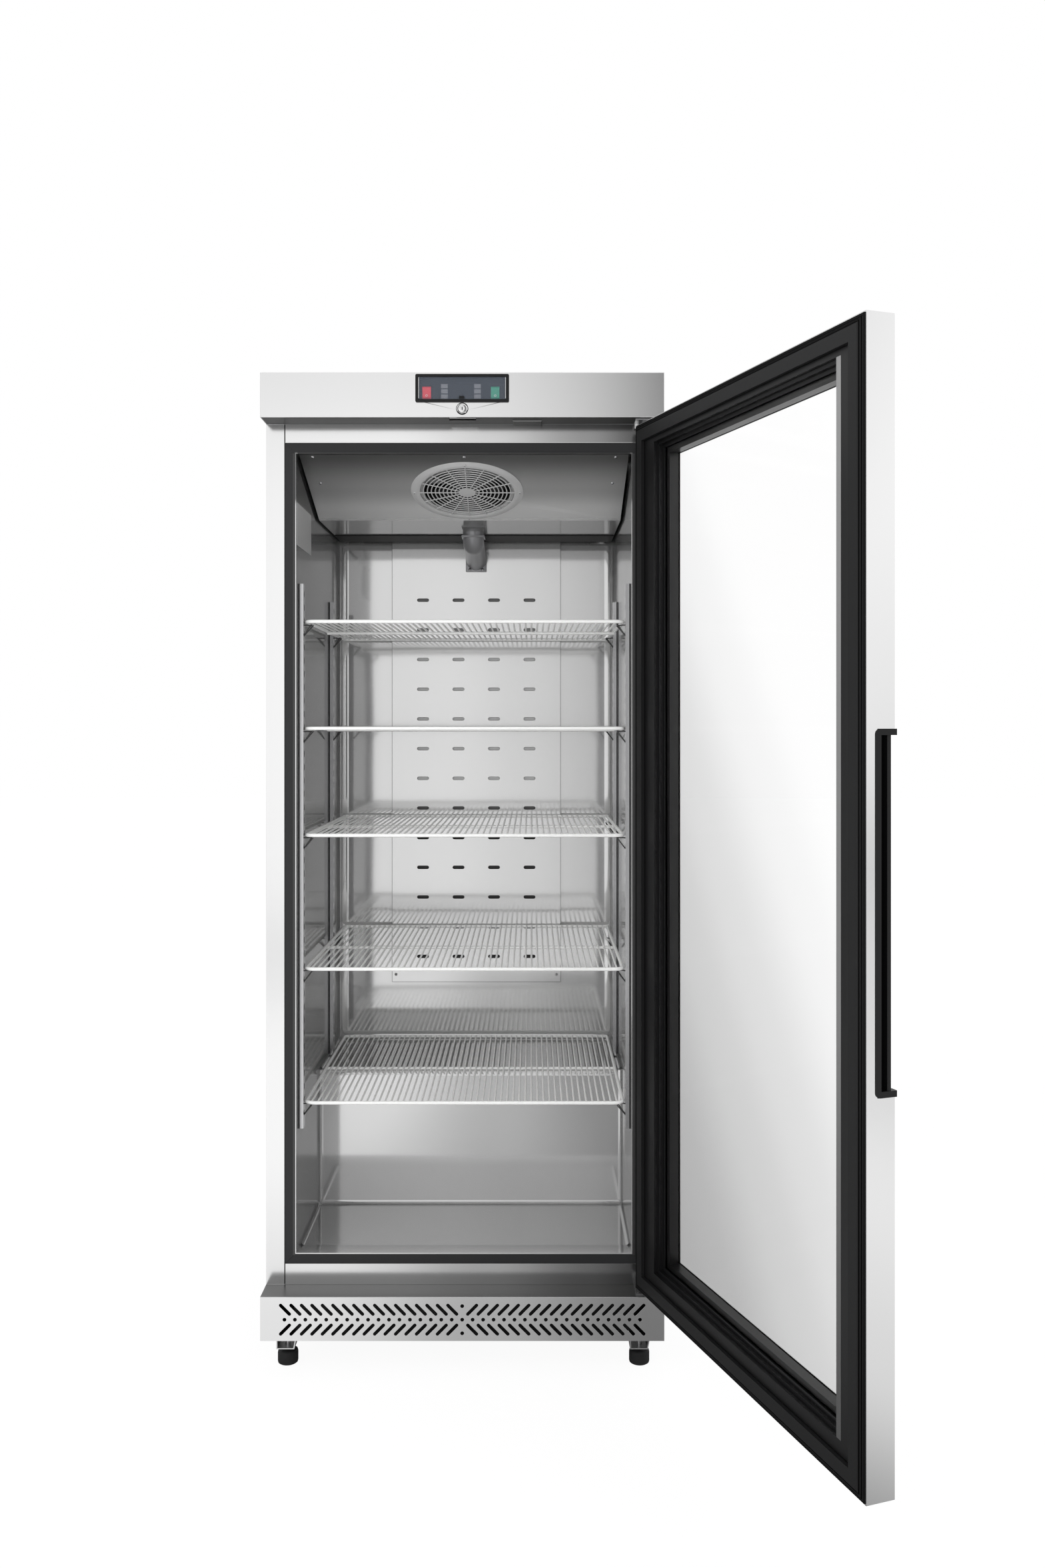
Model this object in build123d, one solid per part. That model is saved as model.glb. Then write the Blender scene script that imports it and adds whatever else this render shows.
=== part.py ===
from build123d import *
import math
import os

# Upright refrigerator with one glass door, in millimetres.
# The origin is on the floor under the middle of the cabinet, +X is to the right as seen
# from the front, +Y goes to the back and +Z goes up. The door stands open, as in the photo.

# Cabinet
cabinet_width = 777.0
cabinet_depth = 730.0
base_clearance = 65.0
base_height = 84.2
carcass_height = 1691.8
hood_height = 86.0
front_setback = 59.0
outer_sheet = 1.0
base_sheet = 1.2

# Insulated carcass and its stamped liner
side_insulation = 57.8
rear_insulation = 57.8
floor_insulation = 53.8
roof_insulation = 57.3
liner_sheet = 0.8
liner_corner_radius = 20.0
floor_lip = 8.3
floor_ramp = 61.0
step_setback = 299.0
step_height = 291.0
step_nose_radius = 12.0
bulkhead_insulation = 45.0
breaker_width = 19.0
breaker_depth = 6.0
liner_edge = 2.3

# Door
door_side_gap = 2.5
door_thickness = 47.0
door_inset = 5.5
door_bottom_gap = 9.8
door_top_gap = 12.5
door_open_angle = 110.0
door_sheet = 1.2
door_lip = 8.0
hinge_inset = 13.0
hinge_depth = 12.5
glass_cover = 16.0
pane_thickness = 4.0
pane_gap = 18.0
glass_margin_side = 100.0
glass_margin_top = 69.0
glass_margin_bottom = 81.0
gasket_start = 2.0
gasket_strip_start = 14.5
gasket_strip_width = 21.5
gasket_ridges = 3
gasket_gap = 0.3
spacer_width = 11.0
frame_step = 12.0

# Recessed handle in the free edge of the door
handle_length = 518.0
handle_bottom = 726.0
handle_reach = 36.0
handle_scoop = 5.2
handle_lip_thickness = 6.2
handle_groove_width = 11.3
handle_groove_depth = 24.0
handle_flange = 9.5
handle_flange_thickness = 1.2
handle_end_length = 9.0
handle_end_projection = 3.0
handle_corner_radius = 8.0

# Hinge hardware
pin_radius = 4.0
pin_clearance = 0.05
bush_radius = 8.0
bush_length = 18.0
bush_sides = 12
washer_gap = 0.3
bracket_thickness = 3.0
bracket_width = 52.0
stop_pin_radius = 4.0

# Control panel in the hood
bezel_width = 180.0
bezel_height = 54.0
bezel_rim = 5.5
bezel_proud = 3.0
bezel_drop = 3.5
panel_depth = 8.0
window_thickness = 1.5
rocker_width = 16.5
rocker_radius = 12.0
rocker_offset = 66.0
rocker_drop = 6.5
button_width = 13.2
button_height = 8.4
button_rows = 3
button_travel = 1.0
controller_width = 81.0
controller_height = 34.0
controller_depth = 35.0
controller_x = -2.7
controller_drop = 4.5
lock_radius = 7.8
lock_drop = 69.7
cam_length = 34.0
cam_width = 14.0
cam_thickness = 2.5
sensor_x = 125.0
sensor_width = 57.0
sensor_depth = 34.0
sensor_setback = 23.0
sensor_drop = 3.0

# Interior fittings
shelf_side_gap = 2.2
shelf_front_gap = 17.5
shelf_rear_gap = 5.7
shelf_step_gap = 2.65
shelf_hook_pitch = 26.5
shelf_hooks = (0, 10, 20, 28, 36)
shelf_rod = 7.5
shelf_wire = 4.0
shelf_wire_pitch = 12.1
shelf_wire_every = 2
cross_bar_width = 4.4
cross_bar_gap = 0.2
shelf_corner_radius = 18.0
pilaster_width = 18.0
pilaster_depth = 9.0
pilaster_sheet = 1.0
pilaster_top = 1530.0
pilaster_foot_gap = 5.0
pilaster_front_setback = 36.0
pilaster_rear_gap = 175.2
pilaster_front_bottom = 448.0
pilaster_slot_every = 8
pilaster_slot_margin = 20.0
pilaster_slot_height = 12.0
pilaster_slot_width = 6.0
clip_wire = 3.5
clip_reach = 18.0
clip_height = 24.0
cover_side_gap = 4.7
cover_sheet = 1.0
cover_front_setback = 7.0
cover_slope_run = 253.0
cover_drop = 91.4
cover_rear_gap = 31.2
guard_radius = 116.5
guard_thickness = 8.0
guard_spokes = 16
guard_rings = 2
guard_hub_radius = 17.5
guard_grille_radius = 98.0
rib_thickness = 3.0
fan_radius = 80.0
fan_blades = 5
fan_setback = 135.0
coil_front_gap = 58.0
coil_rear_gap = 12.0
coil_side_gap = 50.0
drain_setback = 154.2
duct_side_gap = 126.7
duct_standoff = 14.0
duct_bottom = 630.0
duct_slot_columns = 4
duct_slot_rows = 13
duct_slot_pitch_x = 85.6
duct_slot_pitch_z = 71.6
duct_slot_length = 28.4
duct_slot_width = 8.0
duct_first_row = 1550.5
drain_radius = 24.5
pipe_sides = 14
drain_drop = 15.0
drain_fall = 33.0
drain_rim = 10.0

# Kick plate pattern
kick_columns = 35
kick_pitch = 20.1
kick_dot_radius = 3.65
kick_slot_length = 30.4
kick_slot_width = 6.4
kick_slot_shift = 1.0
kick_row_offset = 19.1
kick_extra_dot_offset = 26.1

# Feet
foot_inset = 44.0
foot_front_setback = 55.0
foot_rear_setback = 55.0
foot_radius = 20.0
round_sides = 20
foot_height = 26.0
foot_edge = 4.0
stud_radius = 5.0
foot_bracket_height = 32.0
foot_bracket_sheet = 2.0

# Machine compartment
rail_flange_top = 25.0
rail_flange_bottom = 65.0
tray_rim = 12.0
compressor_radius = 68.0
compressor_height = 165.0
compressor_side_gap = 171.3
mount_height = 14.0
mount_radius = 11.0
mount_plate_width = 190.0
mount_plate_depth = 120.0
mount_plate_sheet = 3.0
terminal_width = 48.0
terminal_reach = 26.0
terminal_bottom = 60.0
terminal_height = 60.0
condenser_side_gap = 71.3
condenser_size = 250.0
condenser_depth = 55.0
condenser_fan_radius = 100.0
drive_motor_length = 40.0
louvre_count = 9
louvre_margin = 30.0
louvre_side_margin = 50.0
louvre_height = 10.0

# Levels and planes worked out from the sizes above
half_width = cabinet_width / 2
front_y = -cabinet_depth / 2
back_y = cabinet_depth / 2
face_y = front_y + front_setback
base_bottom = base_clearance
base_top = base_bottom + base_height
hood_bottom = base_top + carcass_height
cabinet_top = hood_bottom + hood_height
liner_half = half_width - side_insulation - outer_sheet
liner_floor = base_top + floor_insulation
liner_mouth_bottom = liner_floor + floor_lip
liner_ceiling = hood_bottom - roof_insulation - outer_sheet
liner_rear = back_y - rear_insulation - outer_sheet
duct_front = liner_rear - duct_standoff
duct_half_width = liner_half - duct_side_gap
step_y = face_y + step_setback
step_top = liner_floor + step_height
edge_half = liner_half + liner_edge
edge_bottom = liner_mouth_bottom - liner_edge
edge_top = liner_ceiling + liner_edge
breaker_half = edge_half + breaker_width
breaker_bottom = edge_bottom - breaker_width
breaker_top = edge_top + breaker_width
machine_front = step_y + liner_sheet + bulkhead_insulation
machine_top = step_top - liner_sheet - bulkhead_insulation
door_front = front_y + door_inset
door_back = door_front + door_thickness
door_half = half_width - door_side_gap
door_bottom = base_top + door_bottom_gap
door_top = hood_bottom - door_top_gap
hinge_x = door_half - hinge_inset
hinge_y = door_front + hinge_depth


def block(x0, x1, y0, y1, z0, z1):
    """A box between two corners."""
    centre = Pos((x0 + x1) / 2, (y0 + y1) / 2, (z0 + z1) / 2)
    return centre * Box(x1 - x0, y1 - y0, z1 - z0)


def rod(radius, start, end):
    """A round bar from one point to another."""
    line = Line(start, end)
    return sweep(Plane(start, z_dir=line % 0) * Circle(radius), path=line)


def side_profile(points, x0, x1):
    """A closed outline of (y, z) points, carried from x0 to x1."""
    face = make_face(Polyline([(x0, y, z) for y, z in points], close=True))
    return extrude(face, amount=x1 - x0, dir=(1, 0, 0))


def plan_profile(points, z0, z1):
    """A closed outline of (x, y) points, carried from z0 to z1."""
    face = make_face(Polyline([(x, y, z0) for x, y in points], close=True))
    return extrude(face, amount=z1 - z0, dir=(0, 0, 1))


def front_profile(points, y0, y1):
    """A closed outline of (x, z) points, carried from y0 to y1."""
    face = make_face(Polyline([(x, y0, z) for x, z in points], close=True))
    return extrude(face, amount=y1 - y0, dir=(0, 1, 0))


def mitred_bar(profile, length, reach):
    """A bar along X of a (depth inward, y) outline, its ends cut at 45 degrees."""
    bar = side_profile([(y, d) for d, y in profile], -length / 2, length / 2)
    low_y = min(y for _, y in profile)
    high_y = max(y for _, y in profile)
    ends = front_profile(
        [(-length / 2, 0), (length / 2, 0), (length / 2 - reach, reach), (reach - length / 2, reach)],
        low_y - 1,
        high_y + 1,
    )
    return bar & ends


def mitred_frame(profile, x0, x1, z0, z1):
    """Four mitred bars round a rectangle, as bottom, top, left and right."""
    reach = max(d for d, _ in profile)
    across = mitred_bar(profile, x1 - x0, reach)
    upright = mitred_bar(profile, z1 - z0, reach)
    mid_x, mid_z = (x0 + x1) / 2, (z0 + z1) / 2
    return [
        Pos(mid_x, 0, z0) * across,
        Pos(mid_x, 0, z1) * Rot(0, 180, 0) * across,
        Pos(x0, 0, mid_z) * Rot(0, 90, 0) * upright,
        Pos(x1, 0, mid_z) * Rot(0, -90, 0) * upright,
    ]


def joined(solids):
    """Several overlapping or touching solids as one."""
    first, *rest = solids
    return first.fuse(*rest).clean() if rest else first


def mirrored(shape):
    """The same shape on the other side of the cabinet's middle plane."""
    return mirror(shape, about=Plane.YZ)


nodes = {}


# Carcass: liner, insulation and outer sheets
def cavity(grow):
    """The inside of the liner, with each wall moved outwards by grow."""
    outline = [
        (face_y, liner_mouth_bottom - grow),
        (face_y + floor_ramp, liner_floor - grow),
        (step_y + grow, liner_floor - grow),
        (step_y + grow, step_top - grow),
        (liner_rear + grow, step_top - grow),
        (liner_rear + grow, liner_ceiling + grow),
        (face_y, liner_ceiling + grow),
    ]
    shape = side_profile(outline, -liner_half - grow, liner_half + grow)
    uprights = shape.edges().filter_by(Axis.Z).filter_by(lambda e: e.center().Y > step_y + 2 * liner_sheet)
    shape = fillet(uprights, liner_corner_radius + grow)
    nose = shape.edges().filter_by(Axis.X).filter_by(
        lambda e: abs(e.center().Y - step_y - grow) < 1 and abs(e.center().Z - step_top + grow) < 1
    )
    return fillet(nose, step_nose_radius - grow)


inside = cavity(0)
liner_flange = block(
    -edge_half, edge_half, face_y, face_y + liner_sheet, edge_bottom, edge_top
) - block(-liner_half, liner_half, face_y, face_y + liner_sheet, liner_mouth_bottom, liner_ceiling)
nodes["inner_liner"] = joined([cavity(liner_sheet) - inside, liner_flange])

foam_front = face_y + outer_sheet
foam_back = back_y - outer_sheet
foam_top = hood_bottom - outer_sheet
foam_side = half_width - outer_sheet
wall = liner_half + liner_sheet
floor_outline = [
    (foam_front, base_top),
    (machine_front, base_top),
    (machine_front, liner_floor - liner_sheet),
    (face_y + floor_ramp, liner_floor - liner_sheet),
    (foam_front, liner_mouth_bottom - liner_sheet),
]
foam_slabs = [
    block(wall, foam_side, foam_front, machine_front, base_top, foam_top),
    block(-foam_side, -wall, foam_front, machine_front, base_top, foam_top),
    block(wall, foam_side, machine_front, foam_back, machine_top, foam_top),
    block(-foam_side, -wall, machine_front, foam_back, machine_top, foam_top),
    block(-wall, wall, foam_front, foam_back, liner_ceiling + liner_sheet, foam_top),
    block(-wall, wall, liner_rear + liner_sheet, foam_back, machine_top, liner_ceiling + liner_sheet),
    side_profile(floor_outline, -wall, wall),
    block(
        -wall, wall, step_y + liner_sheet, machine_front, liner_floor - liner_sheet, step_top - liner_sheet
    ),
    block(-wall, wall, machine_front, liner_rear + liner_sheet, machine_top, step_top - liner_sheet),
]
breaker_recess = block(
    -breaker_half, breaker_half, face_y, face_y + breaker_depth, breaker_bottom, breaker_top
)
lined = cavity(liner_sheet)
nodes["insulation"] = Compound([slab - breaker_recess - lined for slab in foam_slabs])

panel_outline = [
    (breaker_half, face_y),
    (half_width, face_y),
    (half_width, back_y - outer_sheet),
    (half_width - outer_sheet, back_y - outer_sheet),
    (half_width - outer_sheet, foam_front),
    (breaker_half, foam_front),
]
side_panel = plan_profile(panel_outline, base_top, foam_top)
nodes["side_panel_right"] = side_panel
nodes["side_panel_left"] = mirrored(side_panel)
nodes["back_panel"] = block(
    -half_width, half_width, foam_back, back_y, machine_top, foam_top
)
nodes["top_panel"] = block(-half_width, half_width, face_y, back_y, foam_top, hood_bottom)
nodes["face_rails"] = Compound(
    [
        block(-breaker_half, breaker_half, face_y, foam_front, breaker_top, foam_top),
        block(-breaker_half, breaker_half, face_y, foam_front, base_top, breaker_bottom),
    ]
)
breaker_outline = [
    (0, face_y),
    (breaker_width, face_y),
    (breaker_width, face_y + breaker_depth / 2),
    (breaker_width - 3, face_y + breaker_depth),
    (0, face_y + breaker_depth),
]
nodes["breaker_frame"] = Compound(
    mitred_frame(breaker_outline, -breaker_half, breaker_half, breaker_bottom, breaker_top)
)

# Hood: a cap over the carcass whose front holds the controls
cap_flange = 10.0
fascia_raise = 2.0
cap = block(-half_width, half_width, front_y + outer_sheet, back_y, hood_bottom, cabinet_top)
cap -= block(
    outer_sheet - half_width,
    half_width - outer_sheet,
    front_y,
    back_y - outer_sheet,
    hood_bottom,
    cabinet_top - outer_sheet,
)
for side in (-1, 1):
    inner, outer = sorted((side * (half_width - cap_flange), side * half_width))
    cap += block(inner, outer, front_y + outer_sheet, face_y, hood_bottom, hood_bottom + outer_sheet)
nodes["top_cover"] = cap

bezel_centre = cabinet_top - bezel_drop - bezel_height / 2
lock_z = cabinet_top - lock_drop
sleeve_half_width = bezel_width / 2 - bezel_rim + 2.0
sleeve_half_height = bezel_height / 2 - bezel_rim + 2.0
cam_y = front_y + 11.0
underside = half_width - cap_flange - 0.5
fascia = block(-half_width, half_width, front_y, front_y + outer_sheet, hood_bottom, cabinet_top)
fascia += block(
    -underside,
    underside,
    front_y + outer_sheet,
    face_y,
    hood_bottom + fascia_raise,
    hood_bottom + fascia_raise + outer_sheet,
)
fascia -= block(
    -sleeve_half_width,
    sleeve_half_width,
    front_y,
    front_y + outer_sheet,
    bezel_centre - sleeve_half_height,
    bezel_centre + sleeve_half_height,
)
housing_outline = RegularPolygon(lock_radius + 1.7, round_sides)
housing_place = Pos(0, cam_y - 0.5, lock_z) * Rot(90, 0, 0)
housing = housing_place * extrude(housing_outline, cam_y - 0.5 - front_y)
fascia -= housing
fascia -= block(
    -cam_width / 2 - 4,
    cam_length + 4,
    cam_y - 1.5,
    cam_y + cam_thickness + 1.5,
    hood_bottom,
    hood_bottom + fascia_raise + outer_sheet,
)
nodes["hood_fascia"] = fascia

# Control panel: bezel with its switch plate, flip-up window, switches and controller
opening_half_width = bezel_width / 2 - bezel_rim
opening_half_height = bezel_height / 2 - bezel_rim
plate_front = front_y + panel_depth
plate_back = plate_front + 2.0
rim_outline = Rectangle(bezel_width, bezel_height)
rim_outline = fillet(rim_outline.vertices(), 3.0)
rim = Pos(0, front_y, bezel_centre) * Rot(90, 0, 0) * extrude(rim_outline, bezel_proud)
sleeve = block(
    -sleeve_half_width,
    sleeve_half_width,
    front_y,
    plate_back,
    bezel_centre - sleeve_half_height,
    bezel_centre + sleeve_half_height,
)
bezel = joined([rim, sleeve])
bezel -= block(
    -opening_half_width,
    opening_half_width,
    front_y - bezel_proud,
    plate_front,
    bezel_centre - opening_half_height,
    bezel_centre + opening_half_height,
)
rocker_z = bezel_centre - rocker_drop
rocker_y = plate_back
rocker_gap = 0.3
for side in (-1, 1):
    middle = controller_x + side * rocker_offset
    bezel -= block(
        middle - rocker_width / 2 - rocker_gap,
        middle + rocker_width / 2 + rocker_gap,
        plate_front,
        plate_back,
        rocker_z - rocker_radius - rocker_gap,
        rocker_z + rocker_radius + rocker_gap,
    )
controller_z = bezel_centre - controller_drop
controller_left = controller_x - controller_width / 2
controller_right = controller_x + controller_width / 2
bezel -= block(
    controller_left,
    controller_right,
    plate_front,
    plate_back,
    controller_z - controller_height / 2,
    controller_z + controller_height / 2,
)
nodes["control_bezel"] = bezel

controller_front = plate_front - 2.0
button_clear = 0.3
button_seat = 3.0
button_proud = 0.8
button_column = controller_width / 2 - button_width / 2 - 2.0
button_pitch = button_height + 1.6
controller = block(
    controller_left,
    controller_right,
    controller_front,
    plate_back + controller_depth,
    controller_z - controller_height / 2,
    controller_z + controller_height / 2,
)
display_half = button_column - button_width / 2 - 3.0
controller -= block(
    controller_x - display_half,
    controller_x + display_half,
    controller_front,
    controller_front + 0.8,
    controller_z - controller_height / 2 + 4.0,
    controller_z + controller_height / 2 - 3.0,
)
for column, side in (("left", -1), ("right", 1)):
    for row in range(button_rows):
        x = controller_x + side * button_column
        z = controller_z + ((button_rows - 1) / 2 - row) * button_pitch
        half_x, half_z = button_width / 2, button_height / 2
        controller -= block(
            x - half_x - button_clear,
            x + half_x + button_clear,
            controller_front,
            controller_front + button_seat,
            z - half_z - button_clear,
            z + half_z + button_clear,
        )
        button_front = controller_front - button_proud
        key = block(
            x - half_x,
            x + half_x,
            button_front,
            controller_front + button_seat - button_travel - 0.3,
            z - half_z,
            z + half_z,
        )
        nodes[f"button_{column}_{row + 1}"] = chamfer(key.faces().sort_by(Axis.Y)[0].edges(), 0.5)
nodes["controller_module"] = controller

rocker_rest = 9.0
rocker_front = front_y + 3.5
rocker_barrel = rod(
    rocker_radius,
    (-rocker_width / 2, rocker_y, 0),
    (rocker_width / 2, rocker_y, 0),
)
rocker_notch = side_profile(
    [
        (rocker_front - 10, -rocker_radius - 1),
        (rocker_front - 1.5, -rocker_radius - 1),
        (rocker_front + 0.5, 0),
        (rocker_front - 1.5, rocker_radius + 1),
        (rocker_front - 10, rocker_radius + 1),
    ],
    -rocker_width,
    rocker_width,
)
rocker_tail = block(
    -rocker_width,
    rocker_width,
    rocker_y + 5.0,
    rocker_y + rocker_radius + 1,
    -rocker_radius - 1,
    rocker_radius + 1,
)
rocker = rocker_barrel - rocker_notch - rocker_tail
rocker = rocker.rotate(Axis((0, rocker_y, 0), (1, 0, 0)), rocker_rest)
nodes["rocker_red"] = Pos(controller_x - rocker_offset, 0, rocker_z) * rocker
nodes["rocker_green"] = Pos(controller_x + rocker_offset, 0, rocker_z) * rocker

window_gap = 0.3
window_front = front_y - bezel_proud + 0.6
window_top = bezel_centre + opening_half_height - window_gap
window_bottom = bezel_centre - opening_half_height + window_gap
window = block(
    -opening_half_width + window_gap,
    opening_half_width - window_gap,
    window_front,
    window_front + window_thickness,
    window_bottom,
    window_top,
)
window_tab = block(-4.5, 4.5, window_front - 2.0, window_front, window_bottom + 0.5, window_bottom + 4.5)
nodes["control_window"] = joined([window, window_tab])

# Key lock: its cam turns down through the hood's underside into the top of the door
barrel_gap = 0.05
lock_collar = extrude(RegularPolygon(lock_radius + 3.2, round_sides), 2.0)
lock_housing = Pos(0, front_y, lock_z) * Rot(90, 0, 0) * lock_collar
lock_housing = joined([lock_housing, housing])
lock_housing -= rod(
    lock_radius + barrel_gap, (0, front_y - 5, lock_z), (0, front_y + 20, lock_z)
)
nodes["lock_housing"] = lock_housing
barrel = rod(lock_radius, (0, front_y - 2.8, lock_z), (0, cam_y, lock_z))
barrel -= block(-1.1, 1.1, front_y - 3, front_y + 1, lock_z - 4.2, lock_z + 4.2)
cam_outline = [
    (-cam_width / 2, -cam_width / 2),
    (cam_length - 3, -cam_width / 2),
    (cam_length, -cam_width / 2 + 3),
    (cam_length, cam_width / 2 - 3),
    (cam_length - 3, cam_width / 2),
    (-cam_width / 2, cam_width / 2),
]
cam = Pos(0, 0, lock_z) * front_profile(cam_outline, cam_y, cam_y + cam_thickness)
nodes["lock_barrel"] = joined([barrel, cam])

nodes["door_sensor"] = chamfer(
    block(
        sensor_x - sensor_width / 2,
        sensor_x + sensor_width / 2,
        front_y + sensor_setback,
        front_y + sensor_setback + sensor_depth,
        hood_bottom - sensor_drop,
        hood_bottom + fascia_raise,
    )
    .faces()
    .sort_by(Axis.Z)[0]
    .edges(),
    1.5,
)

# Base: rails and deck, perforated kick plate, feet in folded brackets
rail_top = base_top - base_sheet
rail_front = front_y + base_sheet
rail_outline = [
    (half_width, base_bottom),
    (half_width, rail_top),
    (half_width - rail_flange_top, rail_top),
    (half_width - rail_flange_top, rail_top - base_sheet),
    (half_width - base_sheet, rail_top - base_sheet),
    (half_width - base_sheet, base_bottom + base_sheet),
    (half_width - rail_flange_bottom, base_bottom + base_sheet),
    (half_width - rail_flange_bottom, base_bottom),
]
rear_rail_front = back_y - rail_flange_top
right_rail = front_profile(rail_outline, rail_front, back_y - base_sheet)
rear_outline = [
    (back_y, base_bottom),
    (back_y, rail_top),
    (back_y - base_sheet, rail_top),
    (back_y - base_sheet, base_bottom),
]
rear_rail = side_profile(rear_outline, -half_width, half_width)
deck = block(-half_width, half_width, rail_front, machine_front, rail_top, base_top)
base_pieces = [right_rail, mirrored(right_rail), rear_rail, deck]

kick_fold = 9.0
kick_outline = [
    (front_y, base_bottom),
    (front_y, base_top),
    (rail_front, base_top),
    (rail_front, base_bottom),
]
kick_plate = side_profile(kick_outline, -half_width, half_width)
kick_plate += block(
    -half_width + rail_flange_bottom + 1,
    half_width - rail_flange_bottom - 1,
    rail_front,
    rail_front + kick_fold,
    base_bottom,
    base_bottom + base_sheet,
)
kick_z = base_bottom + base_height / 2 - 1.1


def kick_slot(x, z, angle):
    """One slanted slot of the pattern, square at its ends."""
    return Pos(x, z) * Rot(0, 0, angle) * Rectangle(kick_slot_length, kick_slot_width)


kick_holes = []
middle_column = (kick_columns - 1) // 2
for column in range(kick_columns):
    x = (column - middle_column) * kick_pitch
    kick_holes.append(Pos(x, 0) * RegularPolygon(kick_dot_radius, 4))
    if column == middle_column:
        kick_holes.append(Pos(x, kick_extra_dot_offset) * RegularPolygon(kick_dot_radius, 4))
        kick_holes.append(Pos(x, -kick_extra_dot_offset) * RegularPolygon(kick_dot_radius, 4))
    else:
        side = 1 if x > 0 else -1
        slot_x = x - side * kick_slot_shift
        kick_holes.append(kick_slot(slot_x, kick_row_offset, side * 45))
        kick_holes.append(kick_slot(slot_x, -kick_row_offset, -side * 45))
kick_plane = Plane((0, front_y - 1, kick_z), x_dir=(1, 0, 0), z_dir=(0, -1, 0))
kick_cutters = [
    extrude(kick_plane * hole, amount=-base_sheet - 2) for hole in kick_holes
]
nodes["kick_plate"] = kick_plate - kick_cutters

foot_x = half_width - foot_inset
foot_places = {
    "front_left": (-foot_x, front_y + foot_front_setback),
    "front_right": (foot_x, front_y + foot_front_setback),
    "rear_left": (-foot_x, back_y - foot_rear_setback),
    "rear_right": (foot_x, back_y - foot_rear_setback),
}
foot_bracket_bottom = base_bottom - foot_bracket_height
stud_top = base_bottom - 6.0
foot_clear = 0.06
bracket_half = foot_radius - 0.5
bracket_outline = [
    (-bracket_half, base_bottom),
    (-bracket_half, foot_bracket_bottom),
    (bracket_half - 4, foot_bracket_bottom),
    (bracket_half + 2, base_bottom),
    (bracket_half + 2 - foot_bracket_sheet, base_bottom),
    (bracket_half - 4 - foot_bracket_sheet, foot_bracket_bottom + foot_bracket_sheet),
    (foot_bracket_sheet - bracket_half, foot_bracket_bottom + foot_bracket_sheet),
    (foot_bracket_sheet - bracket_half, base_bottom),
]
bracket_channel = front_profile(bracket_outline, -foot_radius, foot_radius)
hole_radius = (stud_radius + foot_clear) / math.cos(math.pi / round_sides)
bracket_hole = extrude(RegularPolygon(hole_radius, round_sides), base_bottom)
foot_bracket = bracket_channel - bracket_hole
nodes["base_frame"] = Compound(base_pieces + [Pos(x, y, 0) * foot_bracket for x, y in foot_places.values()])
foot_cup = extrude(RegularPolygon(foot_radius, round_sides), foot_height)
foot_cup = chamfer(foot_cup.faces().sort_by(Axis.Z)[-1].edges(), foot_edge)
foot_stud = Pos(0, 0, foot_height) * extrude(
    RegularPolygon(stud_radius, round_sides), stud_top - foot_height
)
foot = joined([foot_cup, foot_stud])
for name, (x, y) in foot_places.items():
    nodes[f"foot_{name}"] = Pos(x, y, 0) * foot


# Door, made shut and then swung open
def swing(shape):
    """Turns a piece of the shut door about the hinge to where the photo has it."""
    return shape.rotate(Axis((hinge_x, hinge_y, 0), (0, 0, 1)), door_open_angle)


def door_ring(inset, margins, y0, y1):
    """The part of the door between an inset outline and the glass margins, as four strips."""
    side, top, bottom = margins
    x, low, high = door_half - inset, door_bottom + inset, door_top - inset
    opening_low, opening_high = door_bottom + bottom, door_top - top
    return [
        block(-x, side - door_half, y0, y1, low, high),
        block(door_half - side, x, y0, y1, low, high),
        block(side - door_half, door_half - side, y0, y1, low, opening_low),
        block(side - door_half, door_half - side, y0, y1, opening_high, high),
    ]


def stacked(*rings):
    """Rings laid on each other, each of their four sides joined into one solid."""
    return [joined(list(strips)) for strips in zip(*rings)]


def edge_margins(width):
    """The same margin on each side of the door."""
    return (width, width, width)


def set_in(distance):
    """The glass margins, drawn back towards the door's edge by a distance."""
    return (
        glass_margin_side - distance,
        glass_margin_top - distance,
        glass_margin_bottom - distance,
    )


handle_top = handle_bottom + handle_length
lip_front = door_front + handle_scoop
lip_back = lip_front + handle_lip_thickness
groove_back = lip_back + handle_groove_width
flange_back = groove_back + handle_flange
handle_seat = groove_back + 6.0
handle_pocket = block(
    -door_half,
    handle_reach - door_half,
    door_front,
    handle_seat,
    handle_bottom,
    handle_top,
)
cam_pocket_depth = 9.0
cam_pocket = block(
    -cam_width / 2 - 4,
    cam_width / 2 + 14,
    cam_y - 2.5,
    cam_y + cam_thickness + 2.0,
    door_top - cam_pocket_depth,
    door_top,
)
bush = extrude(RegularPolygon(bush_radius, bush_sides), bush_length)
bush_holes = [
    Pos(hinge_x, hinge_y, door_top - bush_length) * bush,
    Pos(hinge_x, hinge_y, door_bottom) * bush,
]
door_cuts = [handle_pocket, cam_pocket, *bush_holes]

skin_front = door_front + door_sheet
skin_back = door_back - door_sheet
skin = stacked(
    door_ring(0, set_in(0), door_front, skin_front),
    door_ring(0, edge_margins(door_sheet), skin_front, skin_back),
    door_ring(0, edge_margins(door_lip), skin_back, door_back),
)
nodes["door_skin"] = swing(Compound([strip - door_cuts for strip in skin]))

glass_back = skin_front + 2 * pane_thickness + pane_gap
seat_set = spacer_width + glass_cover
frame_lip = 2.5
step_back = (glass_back + frame_lip + skin_back) / 2
inner_frame = stacked(
    door_ring(door_sheet, set_in(seat_set), skin_front, glass_back),
    door_ring(door_sheet, set_in(spacer_width), glass_back, glass_back + frame_lip),
    door_ring(door_sheet, set_in(spacer_width + frame_step / 2), glass_back + frame_lip, step_back),
    door_ring(door_sheet, set_in(spacer_width + frame_step), step_back, skin_back),
)
nodes["door_inner_frame"] = swing(Compound([strip - door_cuts for strip in inner_frame]))

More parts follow.
